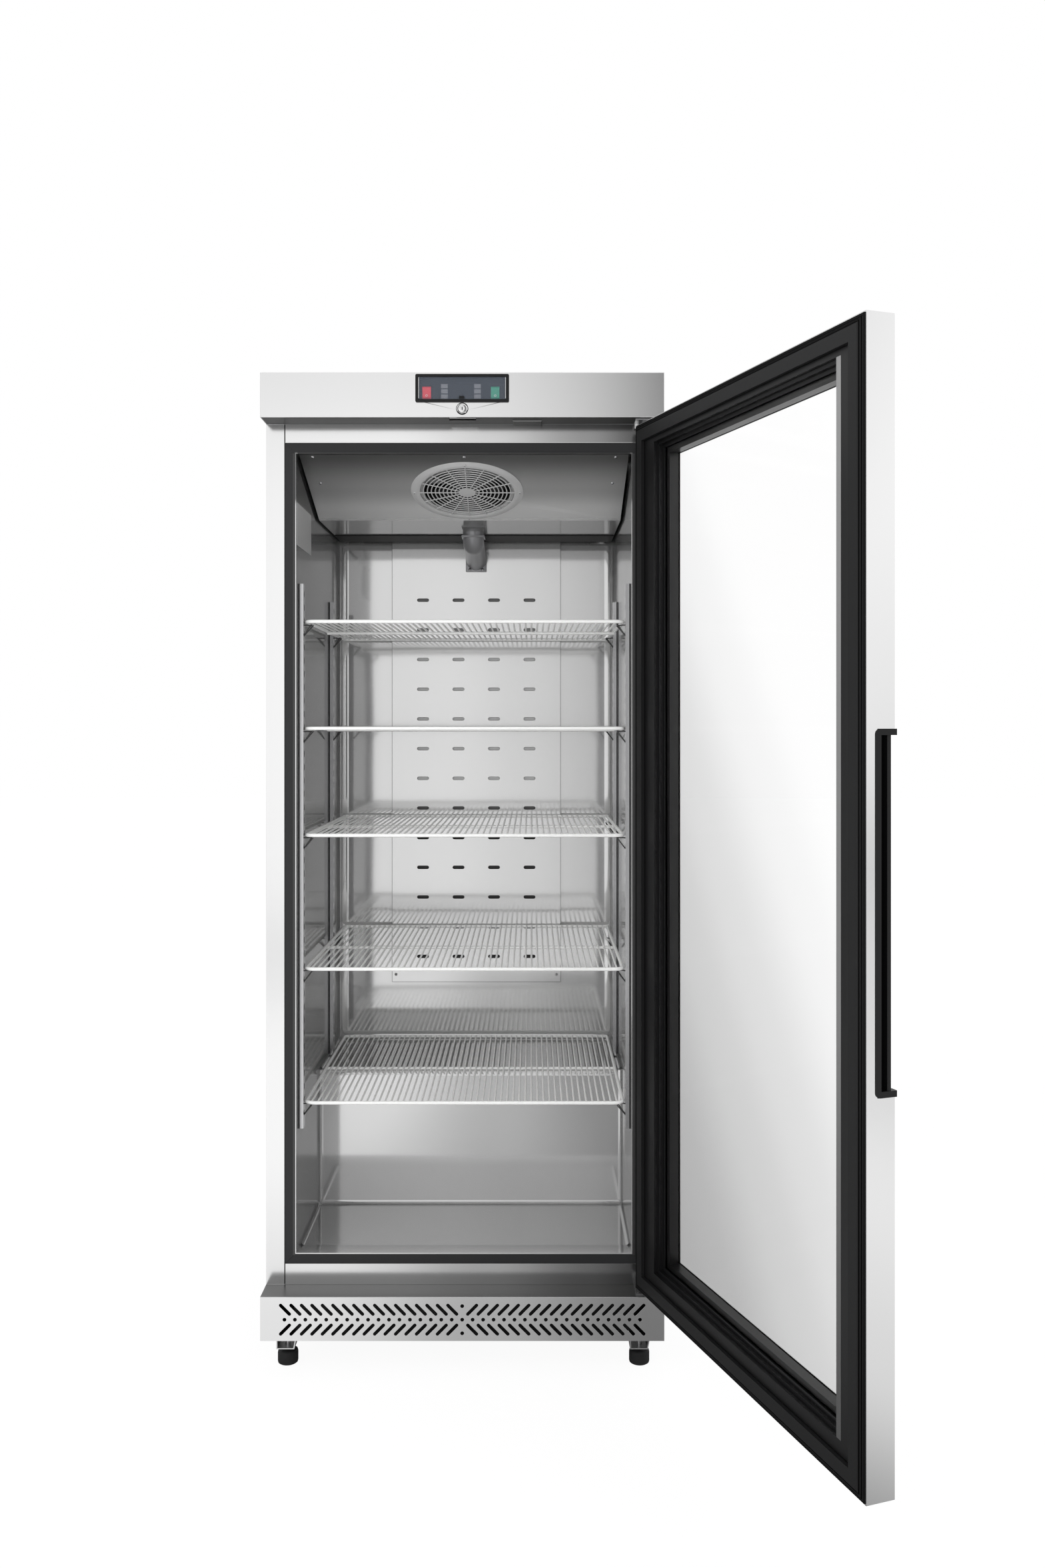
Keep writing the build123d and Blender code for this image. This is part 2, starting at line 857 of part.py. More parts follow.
glass_half = door_half - glass_margin_side + seat_set
glass_low = door_bottom + glass_margin_bottom - seat_set
glass_high = door_top - glass_margin_top + seat_set
pane_outer = block(-glass_half, glass_half, skin_front, skin_front + pane_thickness, glass_low, glass_high)
pane_inner = block(-glass_half, glass_half, glass_back - pane_thickness, glass_back, glass_low, glass_high)
nodes["glass_panes"] = swing(Compound([pane_outer, pane_inner]))
spacer_outline = [
    (glass_cover, skin_front + pane_thickness),
    (glass_cover + spacer_width, skin_front + pane_thickness),
    (glass_cover + spacer_width, glass_back - pane_thickness),
    (glass_cover, glass_back - pane_thickness),
]
nodes["glass_spacer"] = swing(
    Compound(mitred_frame(spacer_outline, -glass_half, glass_half, glass_low, glass_high))
)

gasket_face = face_y - gasket_gap
gasket_height = gasket_face - door_back
ridge_pitch = (gasket_strip_start - gasket_start) / gasket_ridges
gasket_outline = [(gasket_start, door_back), (gasket_start, door_back + 1.0)]
for ridge in range(1, gasket_ridges):
    crest = gasket_height * ridge / gasket_ridges
    gasket_outline.append((gasket_start + (ridge - 0.4) * ridge_pitch, door_back + crest))
    gasket_outline.append((gasket_start + ridge * ridge_pitch, door_back + crest - 1.4))
gasket_end = gasket_strip_start + gasket_strip_width
gasket_outline.append((gasket_strip_start, gasket_face))
gasket_outline.append((gasket_end, gasket_face))
gasket_outline.append((gasket_end, skin_back))
gasket_outline.append((door_lip, skin_back))
gasket_outline.append((door_lip, door_back))
nodes["door_gasket"] = swing(
    Compound(mitred_frame(gasket_outline, -door_half, door_half, door_bottom, door_top))
)

edge_x = -door_half
grip_outline = [
    (edge_x + handle_reach, door_front),
    (edge_x + handle_reach - 10, lip_front),
    (edge_x + 1.5, lip_front),
    (edge_x, lip_front + 1.5),
    (edge_x, lip_back - 1.5),
    (edge_x + 1.5, lip_back),
    (edge_x + handle_groove_depth, lip_back),
    (edge_x + handle_groove_depth, groove_back),
    (edge_x, groove_back),
    (edge_x, handle_seat),
    (edge_x + handle_reach, handle_seat),
]
grip = plan_profile(grip_outline, handle_bottom, handle_top)
end_outline = [
    (edge_x + handle_reach, door_front),
    (edge_x + 8, door_front - handle_end_projection),
    (edge_x, door_front - handle_end_projection),
    (edge_x, handle_seat),
    (edge_x + handle_reach, handle_seat),
]
ends = [
    plan_profile(end_outline, handle_bottom, handle_bottom + handle_end_length),
    plan_profile(end_outline, handle_top - handle_end_length, handle_top),
]
flange_front = door_front - handle_end_projection
flange = block(
    edge_x - handle_flange_thickness, edge_x, flange_front, flange_back, handle_bottom, handle_top
)
flange -= block(
    edge_x - handle_flange_thickness,
    edge_x,
    flange_front,
    groove_back,
    handle_bottom + handle_end_length,
    handle_top - handle_end_length,
)
flange_corners = flange.edges().filter_by(Axis.X).group_by(Axis.Y)[-1]
flange = fillet(flange_corners, handle_corner_radius)
nodes["door_handle"] = swing(joined([grip, *ends, flange]))

bush_bore = rod(
    pin_radius + pin_clearance,
    (hinge_x, hinge_y, door_bottom - 20),
    (hinge_x, hinge_y, door_top + 20),
)
washer_bottom = base_top + bracket_thickness + washer_gap
washer = extrude(RegularPolygon(bush_radius + 2, bush_sides), door_bottom - washer_bottom)
washer = Pos(hinge_x, hinge_y, washer_bottom) * washer
lower_bush = joined([bush_holes[1], washer])
nodes["hinge_bushes"] = swing(Compound([bush_holes[0] - bush_bore, lower_bush - bush_bore]))

bracket_right = half_width - 2.5
bracket_left = bracket_right - bracket_width
bracket_front = front_y + 8.0
leaf_left = bracket_left + 16.0
leaf_front = face_y - bracket_thickness
leaf_gap = 1.0
pin_reach = bush_length - 2.0
plate_low = hood_bottom - bracket_thickness
plate_high = base_top + bracket_thickness
top_plate = block(bracket_left, bracket_right, bracket_front, face_y, plate_low, hood_bottom)
top_leaf = block(leaf_left, bracket_right, leaf_front, face_y, door_top + leaf_gap, plate_low)
top_pin = rod(pin_radius, (hinge_x, hinge_y, door_top - pin_reach), (hinge_x, hinge_y, plate_low))
nodes["hinge_bracket_top"] = joined([top_plate, top_leaf, top_pin])
low_plate = block(bracket_left, bracket_right, bracket_front, face_y, base_top, plate_high)
low_leaf = block(leaf_left, bracket_right, leaf_front, face_y, plate_high, door_bottom - leaf_gap)
low_pin = rod(pin_radius, (hinge_x, hinge_y, plate_high), (hinge_x, hinge_y, door_bottom + pin_reach))
nodes["hinge_bracket_bottom"] = joined([low_plate, low_leaf, low_pin])
stop_x = bracket_left + stop_pin_radius + 1.0
stop_y = face_y - 11.0
stop_bottom = door_top + 1.5
nodes["hinge_stop_pin"] = Pos(stop_x, stop_y, stop_bottom) * extrude(
    RegularPolygon(stop_pin_radius, bush_sides), plate_low - stop_bottom
)

# Shelf uprights, clips and wire shelves
pilaster_face = liner_half - pilaster_depth
slot_pitch = shelf_hook_pitch * pilaster_slot_every
upright_places = [
    (face_y + pilaster_front_setback, pilaster_front_bottom),
    (liner_rear - pilaster_rear_gap, step_top + pilaster_foot_gap),
]


def pilaster(y, bottom):
    """A slotted channel that stands against the right wall."""
    half = pilaster_width / 2
    sheet = pilaster_sheet
    outline = [
        (liner_half, y - half),
        (pilaster_face, y - half),
        (pilaster_face, y + half),
        (liner_half, y + half),
        (liner_half, y + half - sheet),
        (pilaster_face + sheet, y + half - sheet),
        (pilaster_face + sheet, y - half + sheet),
        (liner_half, y - half + sheet),
    ]
    channel = plan_profile(outline, bottom, pilaster_top)
    count = int((pilaster_top - pilaster_slot_margin - bottom) // slot_pitch)
    slots = []
    for index in range(count):
        z = pilaster_top - pilaster_slot_margin - index * slot_pitch
        slots.append(
            block(
                pilaster_face - 1,
                pilaster_face + sheet + 1,
                y - pilaster_slot_width / 2,
                y + pilaster_slot_width / 2,
                z - pilaster_slot_height / 2,
                z + pilaster_slot_height / 2,
            )
        )
    return channel - slots


right_pilasters = [pilaster(y, bottom) for y, bottom in upright_places]
nodes["pilasters"] = Compound(right_pilasters + [mirrored(p) for p in right_pilasters])

clip_gap = 0.3
lowest_shelf = step_top + shelf_step_gap + shelf_rod / 2
shelf_levels = [lowest_shelf + hook * shelf_hook_pitch for hook in shelf_hooks]
right_clips = []
for level in shelf_levels:
    top = level - shelf_rod / 2 - clip_gap
    tip = pilaster_face - clip_reach
    foot_z = top - clip_height
    clip_outline = [
        (pilaster_face, top),
        (tip, top),
        (tip, top - clip_wire),
        (pilaster_face - clip_wire, foot_z),
        (pilaster_face, foot_z),
    ]
    for y, bottom in upright_places:
        if foot_z > bottom:
            right_clips.append(front_profile(clip_outline, y - clip_wire / 2, y + clip_wire / 2))
nodes["shelf_clips"] = Compound(right_clips + [mirrored(c) for c in right_clips])

shelf_front = face_y + shelf_front_gap
shelf_back = duct_front - shelf_rear_gap
shelf_middle = (shelf_front + shelf_back) / 2
shelf_depth = shelf_back - shelf_front
shelf_width = 2 * (pilaster_face - shelf_side_gap)
rim_outside = Rectangle(shelf_width, shelf_depth)
rim_outside = fillet(rim_outside.vertices().group_by(Axis.Y)[0], shelf_corner_radius)
rim_inside = Rectangle(shelf_width - 2 * shelf_rod, shelf_depth - 2 * shelf_rod)
shelf_rim = extrude(rim_outside - rim_inside, shelf_rod / 2, both=True)
wire_pitch = shelf_wire_pitch * shelf_wire_every
wire_count = int((shelf_width - 2 * shelf_rod) / wire_pitch)
wire_half = shelf_depth / 2 - shelf_rod
wire_top = shelf_rod / 2
wire_low = wire_top - shelf_wire
wires = []
for index in range(wire_count):
    x = (index - (wire_count - 1) / 2) * wire_pitch
    half = shelf_wire / 2
    wires.append(block(x - half, x + half, -wire_half, wire_half, wire_low, wire_top))
cross_bar = block(
    shelf_rod / 2 - shelf_width / 2,
    shelf_width / 2 - shelf_rod / 2,
    -cross_bar_width / 2,
    cross_bar_width / 2,
    -shelf_rod / 2,
    wire_low - cross_bar_gap,
)
wire_shelf = joined([shelf_rim, *wires, cross_bar])
for number, level in enumerate(reversed(shelf_levels), start=1):
    nodes[f"shelf_{number}"] = Pos(0, shelf_middle, level) * wire_shelf

# Evaporator housing under the ceiling, with its fan, guard and coil
cover_top_y = face_y + cover_front_setback
cover_low_y = cover_top_y + cover_slope_run
cover_top_z = liner_ceiling - 0.3
cover_low_z = cover_top_z - cover_drop
cover_end_y = liner_rear - cover_rear_gap
cover_half = liner_half - cover_side_gap
slope = math.atan2(cover_drop, cover_slope_run)
cover_outline = [
    (cover_top_y, cover_top_z),
    (cover_low_y, cover_low_z),
    (cover_end_y, cover_low_z),
    (cover_end_y, cover_low_z + cover_sheet),
    (cover_low_y + cover_sheet * math.tan(slope / 2), cover_low_z + cover_sheet),
    (cover_top_y + cover_sheet / math.sin(slope), cover_top_z),
]
fan_centre = (0, cover_top_y + fan_setback, cover_top_z - fan_setback * math.tan(slope))
outward = (0, -math.sin(slope), -math.cos(slope))
fan_plane = Plane(fan_centre, x_dir=(1, 0, 0), z_dir=outward)


def on_cover(shape):
    """Places a shape made on the floor plane onto the sloping cover, +Z facing the cabinet."""
    return fan_plane.location * shape


cover = side_profile(cover_outline, -cover_half, cover_half)
fan_hole_radius = fan_radius + 10.0
fan_hole = extrude(RegularPolygon(fan_hole_radius, round_sides), 10, both=True)
cover -= on_cover(fan_hole)

flat_angle = 360 / guard_spokes
ring_step = (guard_grille_radius - guard_hub_radius) / guard_rings
rim_sides = round_sides
guard_disc = extrude(RegularPolygon(guard_radius, rim_sides), guard_thickness)
guard_disc = chamfer(guard_disc.faces().sort_by(Axis.Z)[-1].edges(), 4.0)
gap_cutters = []
for ring in range(guard_rings):
    inner = guard_hub_radius + ring * ring_step + (rib_thickness / 2 if ring else 0)
    outer = guard_hub_radius + (ring + 1) * ring_step - rib_thickness / 2
    for spoke in range(guard_spokes):
        middle = math.radians((spoke + 0.5) * flat_angle)
        corners = []
        for radius, sign in ((inner, -1), (outer, -1), (outer, 1), (inner, 1)):
            half_gap = math.radians(flat_angle / 2) - rib_thickness / 2 / radius
            angle = middle + sign * half_gap
            corners.append((radius * math.cos(angle), radius * math.sin(angle), 0))
        cutter = make_face(Polyline(corners, close=True))
        gap_cutters.append(extrude(cutter, amount=guard_thickness, dir=(0, 0, 1)))
guard = guard_disc - gap_cutters
nodes["fan_guard"] = on_cover(guard)

blade_root = 22.0
blade_depth = -13.0
hub_half = 6.0
motor_radius = 28.0
shaft_radius = 3.0
shaft_clear = 0.05
blade_outline = [
    (blade_root, -9, 0),
    (fan_radius * 0.55, -17, 0),
    (fan_radius * 0.95, -19, 0),
    (fan_radius * 0.98, 6, 0),
    (fan_radius * 0.6, 13, 0),
    (blade_root, 9, 0),
]


def bladed_rotor(scale):
    """A hub with pitched blades round the Z axis, without its bore."""
    blade = extrude(make_face(Polyline(blade_outline, close=True)), 1.4)
    blade = blade.rotate(Axis.X, 24)
    hub = extrude(RegularPolygon(blade_root + 3, bush_sides), hub_half, both=True)
    blades = [blade.rotate(Axis.Z, index * 360 / fan_blades) for index in range(fan_blades)]
    return joined([hub, *blades]).scale(scale)


rotor_bore = Cylinder(shaft_radius + shaft_clear, fan_radius)
nodes["evaporator_fan"] = on_cover(Pos(0, 0, blade_depth) * (bladed_rotor(1) - rotor_bore))

motor_front = blade_depth - hub_half - 4.0
motor_back = motor_front - 12.0
arm_reach = fan_hole_radius + 8.0
motor_can = Pos(0, 0, motor_back) * extrude(
    RegularPolygon(motor_radius, round_sides), motor_front - motor_back
)
motor_shaft = Pos(0, 0, motor_front + 7) * Cylinder(shaft_radius, 14)
strap_sheet = 2.0
strap_outline = [
    (-arm_reach, -cover_sheet),
    (-arm_reach, motor_front - strap_sheet),
    (arm_reach, motor_front - strap_sheet),
    (arm_reach, -cover_sheet),
    (arm_reach - strap_sheet, -cover_sheet),
    (arm_reach - strap_sheet, motor_front),
    (strap_sheet - arm_reach, motor_front),
    (strap_sheet - arm_reach, -cover_sheet),
]
strap = front_profile(strap_outline, -8, 8)
nodes["evaporator_fan_motor"] = on_cover(joined([motor_can, motor_shaft, strap]))

coil_front = cover_low_y + coil_front_gap
coil_back = cover_end_y - coil_rear_gap
coil_low = cover_low_z + cover_sheet
coil_half = cover_half - coil_side_gap
coil = block(-coil_half, coil_half, coil_front, coil_back, coil_low + 14, liner_ceiling - 8)
for side in (-1, 1):
    near, far = sorted((side * coil_half, side * (coil_half + 2)))
    coil += block(near, far, coil_front - 5, coil_back + 5, coil_low, liner_ceiling)
nodes["evaporator_coil"] = coil

# Drain elbow from the evaporator's tray to the rear wall
flange_thickness = 4.0
drain_y = duct_front - drain_setback
drain_start = (0, drain_y, cover_low_z + drain_rim)
drain_turn = (0, drain_y, cover_low_z - drain_drop)
drain_end = (0, duct_front + drain_radius, cover_low_z - drain_drop - drain_fall)
drain_path = Polyline(drain_start, drain_turn, drain_end)
pipe_outline = Plane(drain_start, z_dir=(0, 0, -1)) * RegularPolygon(drain_radius, pipe_sides)
drain_pipe = sweep(pipe_outline, path=drain_path, transition=Transition.RIGHT)
nodes["evaporator_cover"] = cover - drain_pipe
drain_flange = block(
    -drain_radius - 0.5,
    drain_radius + 0.5,
    duct_front - flange_thickness,
    duct_front,
    drain_end[2] - drain_radius - 1.0,
    drain_end[2] + drain_radius + 1.0,
)
cut_half = 2 * drain_radius
behind_duct = block(
    -cut_half, cut_half, duct_front, duct_front + cut_half, drain_end[2] - cut_half, drain_end[2] + cut_half
)
nodes["drain_elbow"] = joined([drain_pipe, drain_flange]) - behind_duct

# Rear air duct with its rows of slots
duct_sheet = 1.0
duct_top = cover_low_z + 8.0
duct_outline = [
    (-duct_half_width, liner_rear),
    (-duct_half_width, duct_front),
    (duct_half_width, duct_front),
    (duct_half_width, liner_rear),
    (duct_half_width - duct_sheet, liner_rear),
    (duct_half_width - duct_sheet, duct_front + duct_sheet),
    (duct_sheet - duct_half_width, duct_front + duct_sheet),
    (duct_sheet - duct_half_width, liner_rear),
]
duct = plan_profile(duct_outline, duct_bottom, duct_top)
duct += block(
    duct_sheet - duct_half_width,
    duct_half_width - duct_sheet,
    duct_front + duct_sheet,
    liner_rear,
    duct_bottom,
    duct_bottom + duct_sheet,
)
duct_slots = []
for column in range(duct_slot_columns):
    for row in range(duct_slot_rows):
        x = (column - (duct_slot_columns - 1) / 2) * duct_slot_pitch_x
        z = duct_first_row - row * duct_slot_pitch_z
        duct_slots.append(
            block(
                x - duct_slot_length / 2,
                x + duct_slot_length / 2,
                duct_front - 1,
                duct_front + duct_sheet + 1,
                z - duct_slot_width / 2,
                z + duct_slot_width / 2,
            )
        )
nodes["duct_panel"] = duct - duct_slots

# Machine compartment behind and below the step
tray_half = half_width - base_sheet - 6.0
tray_front = machine_front + 8.0
tray_back = back_y - base_sheet - 6.0
tray_z = base_bottom + base_sheet
tray = block(-tray_half, tray_half, tray_front, tray_back, tray_z, tray_z + tray_rim)
tray -= block(
    base_sheet - tray_half,
    tray_half - base_sheet,
    tray_front + base_sheet,
    tray_back - base_sheet,
    tray_z + base_sheet,
    tray_z + tray_rim,
)
nodes["machine_tray"] = tray
tray_top = tray_z + base_sheet

compressor_x = compressor_side_gap - tray_half
compressor_y = (tray_front + tray_back) / 2
can_edge = compressor_radius * 0.3
can = extrude(RegularPolygon(compressor_radius, round_sides), compressor_height)
can = chamfer(can.faces().sort_by(Axis.Z)[-1].edges(), can_edge)
can = Pos(compressor_x, compressor_y, tray_top + mount_height) * can
foot_plate = block(
    compressor_x - mount_plate_width / 2,
    compressor_x + mount_plate_width / 2,
    compressor_y - mount_plate_depth / 2,
    compressor_y + mount_plate_depth / 2,
    tray_top + mount_height - mount_plate_sheet,
    tray_top + mount_height,
)
mount_x = mount_plate_width / 2 - mount_radius - 4
mount_y = mount_plate_depth / 2 - mount_radius - 4
mount = extrude(RegularPolygon(mount_radius, 8), mount_height - mount_plate_sheet)
mounts = [
    Pos(compressor_x + sx * mount_x, compressor_y + sy * mount_y, tray_top) * mount
    for sx in (-1, 1)
    for sy in (-1, 1)
]
terminal_box = block(
    compressor_x + compressor_radius - 6,
    compressor_x + compressor_radius + terminal_reach,
    compressor_y - terminal_width / 2,
    compressor_y + terminal_width / 2,
    tray_top + terminal_bottom,
    tray_top + terminal_bottom + terminal_height,
)
nodes["compressor"] = joined([can, foot_plate, *mounts, terminal_box])

condenser_right = tray_half - condenser_side_gap
condenser_left = condenser_right - condenser_size
condenser_front = tray_front + 12.0
condenser_back = condenser_front + condenser_depth
condenser_top = tray_top + condenser_size
fin_count = 5
fin_set = 5.0
tube_block = block(
    condenser_left, condenser_right, condenser_front + fin_set, condenser_back - fin_set, tray_top, condenser_top
)
fins = []
for index in range(fin_count):
    x = condenser_left + (index + 0.5) * condenser_size / fin_count
    fins.append(block(x - 2, x + 2, condenser_front, condenser_back, tray_top, condenser_top))
nodes["condenser_coil"] = joined([tube_block, *fins])
shroud_depth = 22.0
shroud_sheet = 1.5
shroud_back = condenser_back + shroud_depth
condenser_mid_x = (condenser_left + condenser_right) / 2
condenser_mid_z = (tray_top + condenser_top) / 2
shroud = block(
    condenser_left, condenser_right, condenser_back, shroud_back, tray_top, condenser_top
)
shroud -= block(
    condenser_left + shroud_sheet,
    condenser_right - shroud_sheet,
    condenser_back,
    shroud_back - shroud_sheet,
    tray_top + shroud_sheet,
    condenser_top - shroud_sheet,
)
shroud_hole = extrude(RegularPolygon(condenser_fan_radius + 6, round_sides), shroud_depth)
shroud_hole = Pos(condenser_mid_x, condenser_back + 1, condenser_mid_z) * Rot(-90, 0, 0) * shroud_hole
shroud -= shroud_hole
rotor_y = shroud_back + 4.0
fan_scale = condenser_fan_radius / fan_radius
condenser_rotor = bladed_rotor(fan_scale) - rotor_bore
nodes["condenser_fan"] = (
    Pos(condenser_mid_x, rotor_y, condenser_mid_z) * Rot(-90, 0, 0) * condenser_rotor
)
motor_y = rotor_y + hub_half * fan_scale + 3.0
drive_motor = extrude(RegularPolygon(motor_radius, round_sides), drive_motor_length)
drive_motor = Pos(condenser_mid_x, motor_y, condenser_mid_z) * Rot(-90, 0, 0) * drive_motor
drive_shaft = rod(
    shaft_radius, (condenser_mid_x, rotor_y - 6, condenser_mid_z), (condenser_mid_x, motor_y, condenser_mid_z)
)
motor_post = block(
    condenser_mid_x - 12, condenser_mid_x + 12, motor_y + 12, motor_y + 15, tray_top, condenser_mid_z
)
nodes["condenser_fan_motor"] = Compound([shroud, joined([drive_motor, drive_shaft, motor_post])])

grille = block(
    -half_width, half_width, back_y - outer_sheet, back_y, base_top - base_sheet, machine_top
)
louvre_pitch = (machine_top - base_top - 2 * louvre_margin) / (louvre_count - 1)
louvre_half = half_width / 2 - louvre_side_margin
louvres = []
for side in (-1, 1):
    for index in range(louvre_count):
        x = side * half_width / 2
        z = base_top + louvre_margin + index * louvre_pitch
        louvres.append(
            block(
                x - louvre_half,
                x + louvre_half,
                back_y - outer_sheet,
                back_y,
                z - louvre_height / 2,
                z + louvre_height / 2,
            )
        )
nodes["rear_grille"] = grille - louvres

os.makedirs("parts", exist_ok=True)
for name, shape in nodes.items():
    export_step(shape, f"parts/{name}.step")
print(len(nodes), "nodes written")
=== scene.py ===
# %% [markdown]
# # A refrigerator with one glass door
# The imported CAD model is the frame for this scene. Each piece below rides on one of its bodies, so the
# door, the shelves, the fans, the switches and the feet move with what they belong to. Lengths are in
# metres, and mm turns millimetres into them.

# %%
import math
import bpy
import bmesh
from mathutils import Matrix, Vector


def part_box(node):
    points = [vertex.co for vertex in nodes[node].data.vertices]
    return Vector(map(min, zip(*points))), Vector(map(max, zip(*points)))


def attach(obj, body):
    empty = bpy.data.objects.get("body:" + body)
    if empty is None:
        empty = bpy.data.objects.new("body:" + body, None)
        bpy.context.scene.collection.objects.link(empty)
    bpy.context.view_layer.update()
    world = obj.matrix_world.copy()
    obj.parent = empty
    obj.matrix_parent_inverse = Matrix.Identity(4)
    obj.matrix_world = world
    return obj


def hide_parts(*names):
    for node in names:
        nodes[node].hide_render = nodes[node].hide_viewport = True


bpy.ops.wm.read_factory_settings(use_empty=True)
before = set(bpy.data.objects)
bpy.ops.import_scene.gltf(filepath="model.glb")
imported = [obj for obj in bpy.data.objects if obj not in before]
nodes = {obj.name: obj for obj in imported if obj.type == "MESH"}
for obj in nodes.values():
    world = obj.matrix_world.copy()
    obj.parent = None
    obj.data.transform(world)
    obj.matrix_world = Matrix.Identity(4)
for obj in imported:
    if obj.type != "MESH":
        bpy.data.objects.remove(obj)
scene = bpy.context.scene
scene.view_settings.view_transform = "Standard"
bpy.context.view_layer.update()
mm = 0.001
X, Y, Z = Vector((1, 0, 0)), Vector((0, 1, 0)), Vector((0, 0, 1))

# %% [markdown]
# ## Camera
# The camera was fitted to the photograph: it looks straight along +Y from 2.94 m, level, with the lens
# shifted down as in a product photograph, so upright edges stay upright.

# %%
camera_data = bpy.data.cameras.new("camera")
camera = bpy.data.objects.new("camera", camera_data)
scene.collection.objects.link(camera)
camera.location = (0.1332, -2.943, 1.2487)
camera.rotation_euler = (math.radians(90), 0, 0)
camera_data.lens = 30.79
camera_data.sensor_width = 36
camera_data.shift_x = -0.00574
camera_data.shift_y = -0.03744
scene.camera = camera
print("camera", [round(value, 3) for value in camera.location])

# %% [markdown]
# ## Stage
# Steel has no look of its own: it shows what stands around it. A studio photographer sets toned cards round
# the machine for that reason, and the same is done here. One upright card behind the camera goes from white
# on the left to nearly black on the right, and a card on the floor does the same for the lower sheets; only
# metal and gloss see them. The lamps light the painted and plastic parts. Rays straight from the camera
# meet plain white, and the floor keeps the contact shadow.

# %%
def tree_of(owner):
    owner.use_nodes = True
    owner.node_tree.nodes.clear()
    return owner.node_tree.nodes, owner.node_tree.links


def ray_is(made, link, *kinds):
    """1 for a ray of one of the kinds, otherwise 0."""
    path = made.new("ShaderNodeLightPath")
    value = path.outputs[f"Is {kinds[0]} Ray"]
    for kind in kinds[1:]:
        either = made.new("ShaderNodeMath")
        either.operation = "MAXIMUM"
        link.new(value, either.inputs[0])
        link.new(path.outputs[f"Is {kind} Ray"], either.inputs[1])
        value = either.outputs["Value"]
    return value


def ramp(made, link, source, low, high, stops):
    """Greys along a coordinate between two places, in metres."""
    span = made.new("ShaderNodeMapRange")
    span.inputs["From Min"].default_value = low
    span.inputs["From Max"].default_value = high
    tone = made.new("ShaderNodeValToRGB")
    tone.color_ramp.interpolation = "EASE"
    while len(tone.color_ramp.elements) < len(stops):
        tone.color_ramp.elements.new(0.5)
    for element, (share, grey) in zip(tone.color_ramp.elements, stops):
        element.position = share
        element.color = (grey, grey, grey, 1)
    link.new(source, span.inputs["Value"])
    link.new(span.outputs["Result"], tone.inputs["Fac"])
    return tone.outputs["Color"]


def object_axes(made, link):
    """The three object coordinates, by the names X, Y and Z."""
    place = made.new("ShaderNodeTexCoord")
    parts = made.new("ShaderNodeSeparateXYZ")
    link.new(place.outputs["Object"], parts.inputs["Vector"])
    return parts.outputs


def sheet_form(width, height, place, lean=0, turn=0):
    """A flat sheet, leaned about X and turned about Z by degrees, then moved into place."""
    form = bmesh.new()
    bmesh.ops.create_grid(form, x_segments=1, y_segments=1, size=0.5)
    bmesh.ops.scale(form, verts=form.verts, vec=(width, height, 1))
    for angle, axis in ((lean, "X"), (turn, "Z")):
        bmesh.ops.rotate(form, verts=form.verts, matrix=Matrix.Rotation(math.radians(angle), 3, axis))
    bmesh.ops.translate(form, verts=form.verts, vec=place)
    return form


def mesh_object(name, form):
    mesh = bpy.data.meshes.new(name)
    form.to_mesh(mesh)
    form.free()
    return bpy.data.objects.new(name, mesh)


def floor_material():
    """Matt white for the contact shadow, mostly covered by a glow where it is seen directly."""
    material = bpy.data.materials.new("studio_floor")
    made, link = tree_of(material)
    surface = made.new("ShaderNodeBsdfPrincipled")
    surface.inputs["Base Color"].default_value = (0.9, 0.9, 0.9, 1)
    surface.inputs["Roughness"].default_value = 0.9
    glow = made.new("ShaderNodeEmission")
    glow.inputs["Strength"].default_value = 1.04
    share = made.new("ShaderNodeMath")
    share.operation = "MULTIPLY"
    share.inputs[1].default_value = 0.90
    mix = made.new("ShaderNodeMixShader")
    link.new(ray_is(made, link, "Camera", "Transmission"), share.inputs[0])
    link.new(share.outputs["Value"], mix.inputs["Fac"])
    link.new(surface.outputs["BSDF"], mix.inputs[1])
    link.new(glow.outputs["Emission"], mix.inputs[2])
    link.new(mix.outputs["Shader"], made.new("ShaderNodeOutputMaterial").inputs["Surface"])
    return material


def lamp(name, place, aim, size, power):
    """A soft lamp that no reflection shows."""
    data = bpy.data.lights.new(name, "AREA")
    data.shape = "RECTANGLE"
    data.size, data.size_y = size
    data.energy = power
    obj = bpy.data.objects.new(name, data)
    scene.collection.objects.link(obj)
    obj.location = place
    obj.rotation_euler = (Vector(aim) - Vector(place)).to_track_quat("-Z", "Y").to_euler()
    obj.visible_glossy = False


def card(name, form, axis, tones, cross_axis=None, cross_tones=None):
    """A toned card that only metal and gloss can see. Tones are (low, high, greys) along an axis, and the
    tones across darken those along."""
    material = bpy.data.materials.new(name)
    made, link = tree_of(material)
    axes = object_axes(made, link)
    colour = ramp(made, link, axes[axis], *tones)
    if cross_axis:
        mixed = made.new("ShaderNodeMixRGB")
        mixed.blend_type = "MULTIPLY"
        mixed.inputs["Fac"].default_value = 1.0
        link.new(colour, mixed.inputs["Color1"])
        link.new(ramp(made, link, axes[cross_axis], *cross_tones), mixed.inputs["Color2"])
        colour = mixed.outputs["Color"]
    glow = made.new("ShaderNodeEmission")
    link.new(colour, glow.inputs["Color"])
    link.new(glow.outputs["Emission"], made.new("ShaderNodeOutputMaterial").inputs["Surface"])
    obj = mesh_object(name, form)
    obj.data.materials.append(material)
    scene.collection.objects.link(obj)
    obj.visible_camera = obj.visible_diffuse = obj.visible_shadow = obj.visible_transmission = False


